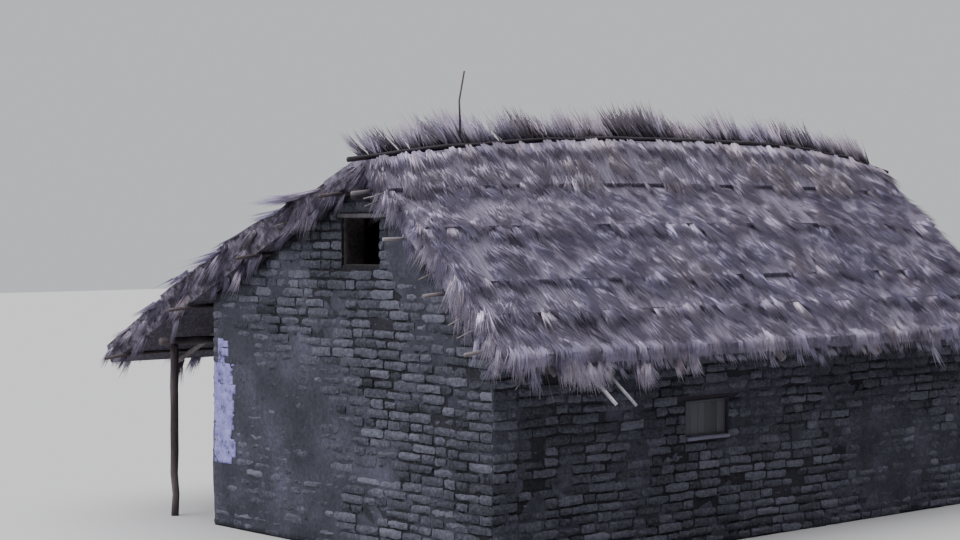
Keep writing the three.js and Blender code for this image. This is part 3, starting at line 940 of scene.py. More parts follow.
def bundle_shapes(seeds, **sizes):
    """Several bundles of one kind, each with its own stems."""
    return [bundle_shape(seed, **sizes) for seed in seeds]


LIP_KNEE = 0.21
THICK_STEMS = (0.009, 0.0145)
CREST_STEMS = (0.009, 0.016)
COVER_SHAPES = bundle_shapes(range(6), width=0.058, length=0.38, thickness=0.012, fan=0.22, lift=0.17)
BACK_SHAPES = bundle_shapes(range(10, 15), width=0.155, length=0.60, thickness=0.014, fan=0.34, lift=0.11,
                            radius=THICK_STEMS)
FRINGE_SHAPES = bundle_shapes(range(20, 25), width=0.055, length=0.44, thickness=0.016, fan=0.32, lift=0.14)
CREST_SHAPES = bundle_shapes(range(40, 45), width=0.095, length=0.50, thickness=0.05, fan=0.40, lift=0.22,
                             radius=CREST_STEMS)
LIP_SHAPES = bundle_shapes(range(50, 55), width=0.065, length=0.48, thickness=0.016, fan=0.30, lift=0.12,
                           stems=11, knee=LIP_KNEE)
print("a straight bundle has", len(COVER_SHAPES[0][1]), "triangles, and a bent one", len(LIP_SHAPES[0][1]))

# %% [markdown]
# Each bundle is set down by three directions: across it, along its stems, and away from what it lies on.
# The tips are made lighter than the roots, because the roots lie in the shade of the bundles above.

# %% Set bundles down
OWN_SHADE = 0.07
MIDDLE_SHARE = 0.6


def unit(vectors):
    """Rows of vectors, each made one unit long."""
    return vectors / np.linalg.norm(vectors, axis=1, keepdims=True)


def spread_bundles(name, shapes, roots, along, away, scale, tone, straw, rng, material=THATCH, rise=0.12):
    """One joined mesh of bundles. Roots, along and away are rows of vectors, and scale, tone and straw are
    rows of numbers. Rise is how much lighter the tips are than the roots: painted shade on the roots."""
    along = unit(along)
    across = unit(np.cross(along, away))
    away = np.cross(across, along)
    kind = rng.integers(0, len(shapes), len(roots))
    parts = []
    first = 0
    for index, (points, faces, shades, share) in enumerate(shapes):
        chosen = np.flatnonzero(kind == index)
        basis = np.stack([across[chosen], along[chosen], away[chosen]], axis=1) * scale[chosen, None, None]
        placed = np.einsum("vj,njk->nvk", points, basis) + roots[chosen][:, None]
        numbers = faces[None] + first + (np.arange(len(chosen)) * len(points))[:, None, None]
        tones = tone[chosen][:, None] + shades[None] * OWN_SHADE + (share[None] - MIDDLE_SHARE) * rise
        straws = np.repeat(straw[chosen], len(points))
        parts.append((placed.reshape(-1, 3), numbers.reshape(-1, 3), tones.ravel(), straws))
        first += len(chosen) * len(points)
    points, faces, tones, straws = (np.concatenate(part) for part in zip(*parts))
    values = {"tone": np.clip(tones, 0, 1), "straw": np.clip(straws, 0, 1)}
    piece = mesh_from_arrays(name, points, faces, values)
    set_down(piece, material, "thatch")
    print(name, "has", len(roots), "bundles and", len(faces), "triangles")
    return piece


def longest(shapes):
    """How far the longest stem of some bundles reaches from its root."""
    return max(points[:, 1].max() for points, *_ in shapes)


# %% [markdown]
# Stems on a real roof lie together in locks: the stems of one lock share most of their turn, length and
# colour, and differ a little. Light and dark also drift slowly over the whole roof, as the weather takes it.

# %% Locks and patches
PATCH_REACH = 1.7


def down_slope(normals):
    """The direction that water runs on each face."""
    fall = np.tile([0.0, 0.0, -1.0], (len(normals), 1))
    return unit(fall - normals * np.sum(fall * normals, axis=1, keepdims=True))


def clumps(places, normals, size, across, down, rng):
    """Several places around each place, as locks of stems lie together, and the number of each one's lock."""
    lock = np.repeat(np.arange(len(places)), size)
    normals = normals[lock]
    fall = down_slope(normals)
    side = np.cross(normals, fall)
    count = len(lock)
    shift = side * rng.normal(0, across, count)[:, None] + fall * rng.normal(0, down, count)[:, None]
    return places[lock] + shift, normals, lock


def shared(rng, lock, spread, mean=0.0):
    """A random number around a mean for each lock, given to all its bundles."""
    return rng.normal(mean, spread, lock[-1] + 1)[lock]


def jitter(rng, lock, between, within, mean=0.0):
    """Random numbers for bundles that differ much between locks and little within one."""
    return shared(rng, lock, between, mean) + rng.normal(0, within, len(lock))


def sizes(rng, lock, between, within):
    """Random shares for bundles: one from a range for each lock, times one from a range for each bundle."""
    return rng.uniform(*between, lock[-1] + 1)[lock] * rng.uniform(*within, len(lock))


def patchy(places, scale, seed):
    """Slow light and dark over the roof, from about -1 to 1, at each place."""
    drift = Vector((seed * 1.37, -seed * 0.71, seed * 0.53))
    return np.array([noise.noise(Vector(place) * scale + drift) for place in places]) * PATCH_REACH


# %% [markdown]
# The stems lie on the roof's own solids. Each solid has an upper skin, a butt that faces down the slope, and
# two ends at the verges, and the bundles are picked from those faces, but only where no other solid lies
# close above them.

# %% Faces of the roof
crest_low, crest_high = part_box("ridge_crest_tufts")
ridge_y = (crest_low.y + crest_high.y) / 2
roof_tree = tree_of(THATCH_NODES)
SKIN = 0.0001
COVERED = 0.06


def faces_of(name, wanted):
    """Corners, normals and areas of the triangles of a solid that pass a test."""
    mesh = nodes[name].data
    mesh.calc_loop_triangles()
    corners = np.array([[mesh.vertices[i].co[:] for i in tri.vertices] for tri in mesh.loop_triangles])
    normals = np.cross(corners[:, 1] - corners[:, 0], corners[:, 2] - corners[:, 0])
    areas = np.linalg.norm(normals, axis=1) / 2
    normals = normals / (2 * areas[:, None])
    keep = wanted(normals, np.sign(corners[:, :, 1].mean(axis=1) - ridge_y))
    return corners[keep], normals[keep], areas[keep]


def pick_places(faces, density, rng):
    """Places and normals spread over the triangles that nothing covers, by how many go on a square metre."""
    corners, normals, areas = faces
    count = int(areas.sum() * density)
    chosen = rng.choice(len(areas), count, p=areas / areas.sum())
    a, b = rng.random(count), rng.random(count)
    flip = a + b > 1
    a[flip], b[flip] = 1 - a[flip], 1 - b[flip]
    tri = corners[chosen]
    places = tri[:, 0] + a[:, None] * (tri[:, 1] - tri[:, 0]) + b[:, None] * (tri[:, 2] - tri[:, 0])
    normals = normals[chosen]
    hits = [roof_tree.ray_cast(Vector(place + normal * SKIN), Vector(normal), COVERED)[0]
            for place, normal in zip(places, normals)]
    bare = np.array([hit is None for hit in hits])
    return places[bare], normals[bare]


def upper(normals, side):
    """Faces on top of a solid. Side is -1 in front of the ridge and 1 behind it, in these tests; this test
    does not use it.
    """
    return normals[:, 2] > 0.5


def sloping(normals, side):
    """Faces on top of a solid that fall away from the ridge."""
    return upper(normals, side) & (normals[:, 1] * side > 0.3)


def butt(normals, side):
    """Faces where a course ends down the slope."""
    return (normals[:, 1] * side > 0.3) & (normals[:, 2] < 0.1) & (np.abs(normals[:, 0]) < 0.5)


def verge(normals, side):
    """Faces at the two ends of the roof."""
    return np.abs(normals[:, 0]) > 0.9


def under(normals, side):
    """Faces on the underside of a solid."""
    return normals[:, 2] < -0.5


print(f"the ridge is at y {ridge_y:.2f} m, under {len(THATCH_NODES)} thatch solids")

# %% [markdown]
# A root has to start inside the thatch, or it would float, and no tip may reach far past the solids, because
# other parts are set beside the house by the size of those. Two helpers keep to the second rule: one lets a
# long stem hang down instead, and the other shortens it.

# %% Keep stems in place
ROOT_DEPTH = 0.03
REACH = 0.01
SHORTEST = 0.15
UP = Vector((0, 0, 1))
TIP_LIMITS = [(cad_bounds[0][axis] - REACH, cad_bounds[1][axis] + REACH) for axis in (0, 1)]
END_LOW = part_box("thatch_ridge_cap")[0].x
END_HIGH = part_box("thatch_ridge_cap")[1].x


def hold_in(roots, along, reach):
    """Stems that would reach too far past the solids hang down instead.

    Rounding also lets many stems of the crest hang, which fills the space behind it.
    """
    along = unit(along)
    for axis, (low, high) in enumerate(TIP_LIMITS):
        tip = roots[:, axis] + along[:, axis] * reach
        allowed = (np.clip(tip, low, high) - roots[:, axis]) / reach
        short = np.abs(allowed) < np.abs(along[:, axis])
        along[short, axis] = allowed[short]
        level = along[short, 0] ** 2 + along[short, 1] ** 2
        along[short, 2] = -np.sqrt(np.maximum(0.05, 1 - level))
        along = unit(along)
    return along


def cut_short(roots, along, reach):
    """The share of each stem that stays above the solids or only a little past them."""
    share = np.ones(len(roots))
    for axis, (low, high) in enumerate(TIP_LIMITS):
        step = along[:, axis] * reach
        room = np.clip(roots[:, axis] + step, low, high) - roots[:, axis]
        share = np.minimum(share, room / np.where(np.abs(step) < 1e-6, 1e-6, step))
    return np.clip(share, SHORTEST, 1)


def buried(roots):
    """Roots that start at or above the thatch are moved straight down into it."""
    moved = roots.copy()
    for row, root in zip(moved, roots):
        hit, normal = roof_tree.ray_cast(Vector(root) + UP * 0.02, DOWN, 0.3)[:2]
        if hit and normal.z > 0.1:
            row[2] = hit.z - ROOT_DEPTH
    return moved


print("tips stay within", [f"{low:.2f} to {high:.2f} m" for low, high in TIP_LIMITS])


# %% [markdown]
# The front slope is what the photograph shows, so it has the most bundles, and the back slope has fewer and
# broader ones. Stems point down the slope, where rain has to run, and their tips stand up a little and throw
# small shadows. Near the verges they lean outwards, as the wind has combed them.

# %% Cover the courses
FRONT_DENSITY = 158
BACK_DENSITY = 46
FRONT_STEEPEST = 0.17
BACK_STEEPEST = 0.14
FRONT_STRAW = (0.25, 0.15, 0.12, 0.22)
BACK_STRAW = 0.15
UNDER_LAP = 0.12
ROOT_DEPTHS = (0.024, 0.040)
CLUMP = 5
SMALL_CLUMP = 3
COVER_RISE = 0.42


def verge_lean(places):
    """How far the stems lean outwards at the verges, less so on the back slope."""
    x = places[:, 0]
    share = np.where(places[:, 1] < ridge_y, 1.0, 0.1)
    return share * (0.45 * np.exp(-(END_HIGH - x) / 0.5) - 0.55 * np.exp(-(x - END_LOW) / 0.5))


def stand_up(rng, lock, steepest):
    """How far each bundle stands up from the skin, alike in a lock. Most of them lie low."""
    return (rng.uniform(0.0, steepest, lock[-1] + 1) ** 1.2)[lock][:, None]


def cover_course(node, shapes, density, seed, straw_share, steepest):
    """Locks of stems all over one course. Their roots are buried, and only their outer half shows."""
    rng = np.random.default_rng(seed)
    places, normals = pick_places(faces_of(node, upper), density / CLUMP, rng)
    length = longest(shapes)
    places, normals, lock = clumps(places, normals, CLUMP, 0.1 * length, 0.14 * length, rng)
    fall = down_slope(normals)
    turn = jitter(rng, lock, 0.20, 0.07) + 0.30 * patchy(places, 0.9, seed % 7)
    along = fall + normals * stand_up(rng, lock, steepest)
    along[:, 0] += turn + verge_lean(places)
    scale = sizes(rng, lock, (0.8, 1.2), (0.85, 1.12))
    depth = rng.uniform(*ROOT_DEPTHS, len(places))[:, None]
    roots = buried(places - normals * depth - fall * UNDER_LAP)
    along = unit(along)
    scale = scale * cut_short(roots, along, scale * length)
    tone = 0.45 + 0.10 * patchy(roots, 1.2, seed) + jitter(rng, lock, 0.07, 0.05)
    straw = straw_share + 0.4 * np.clip(patchy(roots, 0.8, seed + 9), 0, 1) + shared(rng, lock, 0.16)
    name = node.replace("thatch_course", "stems")
    spread_bundles(name, shapes, roots, along, normals, scale, tone, straw, rng, rise=COVER_RISE)


FRONT_COURSES = [f"front_thatch_course_{number}" for number in range(1, 5)]
BACK_COURSES = [f"back_thatch_course_{number}" for number in range(1, 5)]
for number, node in enumerate(FRONT_COURSES):
    cover_course(node, COVER_SHAPES, FRONT_DENSITY, 100 + number, FRONT_STRAW[number], FRONT_STEEPEST)
for number, node in enumerate(BACK_COURSES):
    cover_course(node, BACK_SHAPES, BACK_DENSITY, 200 + number, BACK_STRAW, BACK_STEEPEST)

# %% [markdown]
# At the ridge, long straw is bent over from both sides and held down by poles. It is the last to be laid,
# so it is the straw coloured part of the roof. Its ends stop where the first full course comes from under it.

# %% Cover the ridge
POLES_FRONT = min(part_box(name)[0].y for name in nodes if name.startswith("ridge_pole"))
BESIDE_POLE = 0.15
KEPT_BEHIND = 0.6


def across_ridge(normals, places):
    """The way down from the ridge on each face, also where the top is almost level."""
    away = np.where(places[:, 1:2] < ridge_y, [[0.0, -1.0, 0.0]], [[0.0, 1.0, 0.0]])
    return unit(away - normals * np.sum(away * normals, axis=1, keepdims=True))


def cover_ridge(density, seed):
    """Long pale straw on the ridge cap, but none on its level top, and less of it behind the crest."""
    rng = np.random.default_rng(seed)
    places, normals = pick_places(faces_of("thatch_ridge_cap", upper), density / CLUMP, rng)
    in_front = places[:, 1] < POLES_FRONT - BESIDE_POLE
    behind = (places[:, 1] > crest_low.y + BESIDE_POLE) & (rng.random(len(places)) < KEPT_BEHIND)
    kept = in_front | behind
    places, normals, lock = clumps(places[kept], normals[kept], CLUMP, 0.05, 0.0, rng)
    count = len(places)
    fall = across_ridge(normals, places)
    places = places + fall * np.abs(rng.normal(0, 0.05, count))[:, None]
    from_pole = np.abs(places[:, 1] - np.where(places[:, 1] < ridge_y, POLES_FRONT, crest_low.y))
    along = fall + normals * stand_up(rng, lock, FRONT_STEEPEST)
    turn = jitter(rng, lock, 0.18, 0.07)
    along[:, 0] += turn + 0.3 * patchy(places, 0.8, 5) + verge_lean(places)
    scale = rng.uniform(0.8, 1.3, count)
    back = np.clip(from_pole, 0.0, UNDER_LAP)[:, None]
    roots = buried(places - normals * rng.uniform(*ROOT_DEPTHS, count)[:, None] - fall * back)
    along = hold_in(roots, along, scale * longest(COVER_SHAPES))
    tone = 0.50 + 0.10 * patchy(roots, 2.0, seed) + jitter(rng, lock, 0.08, 0.05)
    straw = 0.65 + 0.3 * patchy(roots, 1.0, seed + 1) + shared(rng, lock, 0.15)
    spread_bundles("stems_ridge", COVER_SHAPES, roots, along, normals, scale, tone, straw, rng,
                   rise=COVER_RISE)


cover_ridge(146, 300)

# %% [markdown]
# The ends of that straw stand up behind the poles as a ragged crest. They keep the direction of the front
# slope, so they lean back over the far side, and the wind has pushed them towards the near gable. The crest
# replaces the plain fin that holds its place.

# %% Crest
CREST_SINK = 0.05
CREST_SIZES = (0.5, 1.28)
cap_tree = tree_of(["thatch_ridge_cap"])


def cap_top(x, y):
    """The height of the ridge cap at a place."""
    hit = cap_tree.ray_cast(Vector((x, y, HIGH_UP)), DOWN)[0]
    return hit.z if hit else crest_low.z


def spread_evenly(low, high, count, rng):
    """Numbers from low to high, one in each of as many equal steps."""
    return low + (np.arange(count) + rng.random(count)) * (high - low) / count


def locks_along(locks, size, inset, least, rng):
    """The lock and the place along the roof of each bundle, for locks of one size in even steps from end to
    end. Inset is how far a lock stays from the ends, and least how far a bundle does."""
    lock = np.repeat(np.arange(locks), size)
    x = spread_evenly(END_LOW + inset, END_HIGH - inset, locks, rng)[lock] + rng.normal(0, 0.03, len(lock))
    return lock, np.clip(x, END_LOW + least, END_HIGH - least)


def add_crest(locks, seed):
    """Loose ends that stand up along the ridge, in tufts of different heights."""
    rng = np.random.default_rng(seed)
    lock, x = locks_along(locks, CLUMP, 0.05, 0.02, rng)
    count = len(lock)
    y = crest_low.y - 0.01 + rng.normal(0, 0.035, count)
    heights = np.array([cap_top(px, py) for px, py in zip(x, y)])
    roots = np.stack([x, y, heights - CREST_SINK], axis=1)
    tuft = patchy(roots, 1.4, seed)
    steep = rng.uniform(0.65, 1.5, locks)[lock] + rng.normal(0, 0.1, count) + 0.2 * tuft
    aside = jitter(rng, lock, 0.18, 0.08, mean=-0.36) - 0.5 * np.exp(-(x - END_LOW) / 0.35)
    along = np.stack([aside, np.full(count, 0.8), steep], axis=1)
    size = 1.0 + 0.16 * tuft + shared(rng, lock, 0.12) + rng.normal(0, 0.08, count)
    scale = np.clip(size, *CREST_SIZES)
    # The crest's low tone and its crest thatch are painted shade: the crest stands dark against the sky.
    tone = 0.21 + 0.16 * patchy(roots, 2.0, seed + 2) + shared(rng, lock, 0.12)
    straw = 0.50 + 0.3 * patchy(roots, 1.2, seed + 4) + shared(rng, lock, 0.15)
    away = np.tile([0.0, -0.6, 0.8], (count, 1))
    along = hold_in(roots, along, scale * longest(CREST_SHAPES))
    piece = spread_bundles("crest", CREST_SHAPES, roots, along, away, scale, tone, straw, rng, CREST_THATCH)
    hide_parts("ridge_crest_tufts")


add_crest(270, 310)

# %% [markdown]
# Where a course ends, its stems reach out of the butt and lie down on the course below, so its edge is a soft
# broken line. At the eaves nothing lies below, and the same stems hang down as a fringe. One function makes
# both, from how much the locks bend down.

# %% Fringes
FRINGE_DEPTH = 0.016
HANGING_DEPTH = 0.026
FRINGE_SIZES = (0.3, 1.35)
RAISED_SHARE = 0.85
LYING_BELOW = 0.3
RIDGE_TOP = 0.3


def lie_of(node):
    """The direction down one course, and the way out of its skin, from the mean of its sloping faces."""
    corners, normals, areas = faces_of(node, sloping)
    skin = unit((normals * areas[:, None]).sum(axis=0, keepdims=True))
    return down_slope(skin)[0], skin[0]


FRONT_FALL, FRONT_SKIN = lie_of(FRONT_COURSES[1])
BACK_FALL, BACK_SKIN = lie_of(BACK_COURSES[1])


def below_skin(inside, depth):
    """Places moved straight up or down to their depth under the skin that is above them."""
    moved = inside.copy()
    for row, place, deep in zip(moved, inside, depth):
        hit = roof_tree.ray_cast(Vector(place), UP, 0.4)[0]
        if hit:
            row[2] = hit.z - deep
    return moved


def add_fringe(name, node, density, seed, bend, set_back, tone_level, straw_share, reach, uneven):
    """Locks of stems out of the butt of one course. Bend and set back are the least and the most of each."""
    rng = np.random.default_rng(seed)
    places, normals = pick_places(faces_of(node, butt), density / SMALL_CLUMP, rng)
    off_top = np.abs(places[:, 1] - ridge_y) > RIDGE_TOP
    places, normals, lock = clumps(places[off_top], normals[off_top], SMALL_CLUMP, 0.032, 0.012, rng)
    count = len(places)
    front = normals[:, 1:2] < 0
    fall = np.where(front, FRONT_FALL, BACK_FALL)
    skin = np.where(front, FRONT_SKIN, BACK_SKIN)
    down = sizes(rng, lock, bend, (0.8, 1.2))
    along = fall - np.stack([np.zeros(count), np.zeros(count), down], axis=1)
    along[:, 0] += jitter(rng, lock, 0.20, 0.08) + verge_lean(places)
    length = sizes(rng, lock, (0.6, 1.15), (0.85, 1.12))
    scale = np.clip(length * reach * (1 + uneven * patchy(places, 2.2, seed)), *FRINGE_SIZES)
    back = rng.uniform(*set_back, lock[-1] + 1)[lock] / (1 + down)
    inside = places - fall * back[:, None] * [1, 1, 0]
    raised = (rng.random(lock[-1] + 1) < RAISED_SHARE)[lock]
    depth = FRINGE_DEPTH + HANGING_DEPTH * np.clip(down, 0, 1)
    roots = np.where(raised[:, None], below_skin(inside, depth), inside - skin * ROOT_DEPTH)
    along = unit(along)
    shortened = scale * cut_short(roots, along, scale * longest(FRINGE_SHAPES))
    scale = np.where(down < LYING_BELOW, shortened, scale)
    along = hold_in(roots, along, scale * longest(FRINGE_SHAPES))
    tone = tone_level + 0.14 * patchy(places, 3.0, seed) + jitter(rng, lock, 0.20, 0.06)
    straw = straw_share + 0.3 * patchy(places, 1.5, seed + 1) + shared(rng, lock, 0.18)
    spread_bundles(name, FRINGE_SHAPES, roots, along, skin, scale, tone, straw, rng)


# %% [markdown]
# A second function lays a row of locks over an edge: bent ones over the eaves, and straight ones that come
# out from under the front poles of the ridge, where the cap's level top ends.

# %% Rows over the edges
ROW_DEPTH = 0.008
EDGE_INSET = 0.002
LIP_LOOKS = (0.30, 0.25, 0.3)
# Under the ridge poles the roots are the darkest of the roof: painted shade of the poles.
POLE_LOOKS = (0.34, 0.60, 0.7)


def add_row(name, shapes, edge, lie, locks, seed, before, slip, looks, size):
    """Locks side by side over an edge. Lie is the way down and the way out of the thatch. Before is how much
    of each lock lies behind the edge, and slip how far it may have slid from there. Looks are the mean tone,
    the straw share and how much lighter the tips are than the roots, whose dark is painted shade."""
    rng = np.random.default_rng(seed)
    fall, skin = lie
    tone_level, straw_share, rise = looks
    scale = size * sizes(rng, np.repeat(np.arange(locks), SMALL_CLUMP), (0.50, 1.12), (0.88, 1.1))
    lock, x = locks_along(locks, SMALL_CLUMP, 0.03, 0.01, rng)
    count = len(lock)
    inside = edge - np.sign(fall[1]) * EDGE_INSET
    heights = [roof_tree.ray_cast(Vector((px, inside, HIGH_UP)), DOWN)[0].z for px in x]
    edges = np.stack([x, np.full(count, inside), heights], axis=1)
    along = fall + skin * rng.uniform(0.0, 0.08, locks)[lock][:, None]
    along[:, 0] += jitter(rng, lock, 0.20, 0.06) + verge_lean(edges)
    along = unit(along)
    behind = before * scale - rng.uniform(*slip, locks)[lock]
    roots = edges - along * behind[:, None] - skin * ROW_DEPTH
    tone = tone_level + 0.16 * patchy(roots, 3.0, seed) + jitter(rng, lock, 0.16, 0.05)
    straw = straw_share + 0.3 * patchy(roots, 1.5, seed + 1) + shared(rng, lock, 0.18)
    away = np.tile(skin, (count, 1))
    spread_bundles(name, shapes, roots, along, away, scale, tone, straw, rng, rise=rise)


FRONT_EAVE, BACK_EAVE = "front_thatch_course_1", "back_thatch_course_1"
low_edge, high_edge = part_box(FRONT_EAVE)[0].y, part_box(BACK_EAVE)[1].y
cap_points = [vertex.co for vertex in nodes["thatch_ridge_cap"].data.vertices]
cap_height = max(point.z for point in cap_points)
cap_edge = min(point.y for point in cap_points if point.z > cap_height - 0.003)
cap_drop = (cap_top(0, cap_edge - 0.3) - cap_top(0, cap_edge - 0.1)) / 0.2
CAP_LIE = unit(np.array([[0.0, -1.0, cap_drop], [0.0, cap_drop, 1.0]]))
add_row("lip_front_eave", LIP_SHAPES, low_edge, (FRONT_FALL, FRONT_SKIN), locks=140, seed=405,
        before=LIP_KNEE, slip=(-0.05, 0.02), looks=LIP_LOOKS, size=1)
add_row("lip_back_eave", LIP_SHAPES, high_edge, (BACK_FALL, BACK_SKIN), locks=44, seed=415,
        before=LIP_KNEE, slip=(-0.06, 0.0), looks=LIP_LOOKS, size=0.72)
add_row("straw_under_pole", COVER_SHAPES, cap_edge, CAP_LIE, locks=110, seed=305,
        before=0.02, slip=(-0.04, 0.04), looks=POLE_LOOKS, size=1.1)

# %% [markdown]
# The eaves hang the most and are the most uneven. The laps between the courses lie down on the next course,
# with steadier ends.

# %% Fringes of the eaves and the laps
add_fringe("fringe_front_eave", FRONT_EAVE, 250, 400, bend=(0.1, 1.5), set_back=(0.04, 0.16),
           tone_level=0.34, straw_share=0.35, reach=0.68, uneven=0.30)
add_fringe("fringe_back_eave", BACK_EAVE, 190, 410, bend=(0.2, 1.6), set_back=(0.06, 0.20),
           tone_level=0.34, straw_share=0.30, reach=0.85, uneven=0.35)
for number, node in enumerate(FRONT_COURSES[1:] + ["thatch_ridge_cap"]):
    add_fringe(f"front_lap_{number + 1}", node, 620, 420 + number, bend=(0.02, 0.40), set_back=(0.06, 0.16),
               tone_level=0.40, straw_share=0.25, reach=0.95, uneven=0.4)
for number, node in enumerate(BACK_COURSES[1:]):
    add_fringe(f"back_lap_{number + 1}", node, 270, 430 + number, bend=(0.0, 0.25), set_back=(0.06, 0.16),
               tone_level=0.38, straw_share=0.2, reach=1.1, uneven=0.4)

# %% [markdown]
# At a verge the thatch is cut across, so the ends of the bundles show, and ragged locks hang down over the
# gable. Some of them come out of the cut face and some out of the underside just behind it.

# %% Verges
VERGE_DEPTH = 0.042
VERGE_INSET = 0.05
VERGE_RAISED = 0.6
VERGE_SIZES = (0.3, 1.15)
SKIRT_WIDTH = 0.24


def hang_locks(name, places, normals, drift, tone_level, size, material, seed):
    """Ragged locks that hang from places at the verges. Drift is how much they lean down the slope."""
    rng = np.random.default_rng(seed)
    places, normals, lock = clumps(places, normals, SMALL_CLUMP, 0.035, 0.02, rng)
    locks, count = lock[-1] + 1, len(lock)
    outward = np.sign(places[:, 0] - spot(WALL_LENGTH / 2, 0, 0).x)
    slope_side = np.sign(places[:, 1] - ridge_y)
    out = rng.uniform(-0.05, 0.5, locks)[lock] + rng.normal(0, 0.06, count)
    lean = rng.uniform(-0.1, drift, locks)[lock] + rng.normal(0, 0.07, count)
    along = np.stack([outward * out, slope_side * lean, -np.ones(count)], axis=1)
    lump = patchy(places, 2.6, seed)
    length = size * sizes(rng, lock, (0.4, 0.95), (0.85, 1.1))
    scale = np.clip(length * (1 + 0.4 * lump), *VERGE_SIZES)
    inside = places - normals * VERGE_INSET
    raised = (rng.random(locks) < VERGE_RAISED)[lock]
    roots = np.where(raised[:, None], below_skin(inside, np.full(count, VERGE_DEPTH)), inside)
    along = hold_in(roots, along, scale * longest(FRINGE_SHAPES))
    tone = tone_level + 0.22 * lump + jitter(rng, lock, 0.17, 0.06)
    straw = 0.25 + 0.35 * lump + shared(rng, lock, 0.18)
    away = np.stack([outward, np.zeros(count), np.full(count, 0.2)], axis=1)
    spread_bundles(name, FRINGE_SHAPES, roots, along, away, scale, tone, straw, rng, material)


def picked_from(names, wanted, density, seed):
    """Bare places on the faces of several solids that pass a test."""
    rng = np.random.default_rng(seed)
    picked = [pick_places(faces_of(name, wanted), density / SMALL_CLUMP, rng) for name in names]
    return [np.concatenate(part) for part in zip(*picked)]


def add_verges(name, nodes_there, density, drift, tone_level, size, material, seed):
    """Locks out of the cut ends of some solids."""
    places, normals = picked_from(nodes_there, verge, density, seed)
    hang_locks(name, places, normals, drift, tone_level, size, material, seed + 1)


def add_skirts(name, nodes_there, density, seed):
    """Locks out of the underside of some solids, near the verges only."""
    places, normals = picked_from(nodes_there, under, density, seed)
    edge = (places[:, 0] < END_LOW + SKIRT_WIDTH) | (places[:, 0] > END_HIGH - SKIRT_WIDTH)
    # Skirts take the lowest tone and the shaded thatch: painted shade under the roof.
    hang_locks(name, places[edge], normals[edge], 0.4, 0.15, 0.8, SHADED_THATCH, seed + 1)


# The back verges and the ridge ends take lower tones and the shaded thatch than the front verges: painted
# shade, as they lie in the roof's shade.
add_verges("front_verges", FRONT_COURSES, 380, 0.8, 0.42, 1.0, THATCH, 500)
add_verges("back_verges", BACK_COURSES, 270, 0.6, 0.20, 0.95, SHADED_THATCH, 510)
add_verges("ridge_ends", ["thatch_ridge_cap"], 560, 0.6, 0.22, 0.8, SHADED_THATCH, 520)
add_skirts("front_skirts", FRONT_COURSES, 130, 540)
add_skirts("back_skirts", BACK_COURSES, 110, 550)

# %% [markdown]
# Here and there a tuft has slipped and hangs down over the gable or the eave. It comes out of the thatch at
# the edge, and its straw is the palest of the roof, because it was covered until it slipped.

# %% Slipped tufts
TUFT_BUNDLES = 16
TUFT_TONES = (0.54, 0.14)
TUFT_STRAW = (0.60, 0.20)


def add_tufts(name, tufts, outward, seed):
    """Fans of pale straw that hang from an edge. Tufts are places on the house, each with its size."""
    rng = np.random.default_rng(seed)
    out = np.array([*outward, 0.0])
    side = np.array([abs(out[1]), -abs(out[0]), 0.0])
    parts = []
    for *place, size in tufts:
        count = int(TUFT_BUNDLES * size)
        shift = rng.normal(0, 0.05, (count, 3)) * np.array([0.5, 1.5, 0.8]) * size
        shift[:, 0] = np.minimum(shift[:, 0], 0.03) - 0.05
        roots = np.array(spot(*place)) + shift @ np.array([out, side, (0, 0, 1)])
        lean = out * rng.uniform(0.0, 0.5, count)[:, None] + side * rng.normal(0.15, 0.3, count)[:, None]
        parts.append((roots, lean - [0, 0, 1], rng.uniform(0.6, 1.0, count) * size))
    roots, along, scale = (np.concatenate(part) for part in zip(*parts))
    roots = buried(roots)
    count = len(roots)
    along = hold_in(roots, along, scale * longest(FRINGE_SHAPES))
    away = np.tile(out + [0, 0, 0.3], (count, 1))
    tone = rng.normal(*TUFT_TONES, count)
    straw = rng.normal(*TUFT_STRAW, count)
    spread_bundles(name, FRINGE_SHAPES, roots, along, away, scale, tone, straw, rng, rise=0.1)


NEAR_EDGE = END_LOW - CORNER.x
FAR_EDGE = END_HIGH - CORNER.x
EAVE_LINE = -0.44
NEAR_TUFTS = [
    (1.62, 4.42, 0.8), (1.50, 4.34, 0.8), (1.18, 4.02, 0.5), (0.90, 3.86, 1.0),
    (0.40, 3.42, 1.1), (0.12, 3.05, 0.6), (-0.16, 2.86, 1.0), (-0.24, 2.66, 0.8),
]
FAR_TUFTS = [(1.3, 4.15, 0.8), (0.5, 3.45, 0.9), (-0.1, 2.85, 0.8)]
EAVE_TUFTS = [
    (0.74, 2.46, 0.7), (0.88, 2.42, 0.8), (1.20, 2.42, 0.9), (1.40, 2.40, 0.6), (2.08, 2.38, 0.9),
    (2.90, 2.36, 0.6),
]
add_tufts("tufts_near_verge", [(NEAR_EDGE, y, z, size) for y, z, size in NEAR_TUFTS], (-1, 0), 530)
add_tufts("tufts_far_verge", [(FAR_EDGE, y, z, size) for y, z, size in FAR_TUFTS], (1, 0), 531)
add_tufts("tufts_front_eave", [(x, EAVE_LINE, z, size) for x, z, size in EAVE_TUFTS], (0, -1), 532)

# %% [markdown]
# The poles are young trunks and branches, so none of them is quite straight or quite round, and each gets
# thinner towards its tip. A pole is made from a ring that is extruded from knot to knot. The knots follow
# the axis of the straight solid that the pole stands for, so it still lies on what carries it.

# %% Crooked poles
POLE_SIDES = 8
POLE_KNOT = 0.28
FREE_END = 0.8
RING_GAP = 0.06


def axis_of(name):
    """The middle line and the radius of a pole's solid, from its rings of points."""
    points = np.array([vertex.co[:] for vertex in nodes[name].data.vertices])
    middle = points.mean(axis=0)
    direction = np.linalg.svd(points - middle, full_matrices=False)[2][0]
    place = (points - middle) @ direction
    order = np.argsort(place)
    breaks = np.flatnonzero(np.diff(place[order]) > RING_GAP) + 1
    rings = np.split(order, breaks)
    centres = [points[ring].mean(axis=0) for ring in rings]
    radius = np.linalg.norm(points[rings[0]] - centres[0], axis=1).max()
    return [Vector(centre) for centre in centres], radius


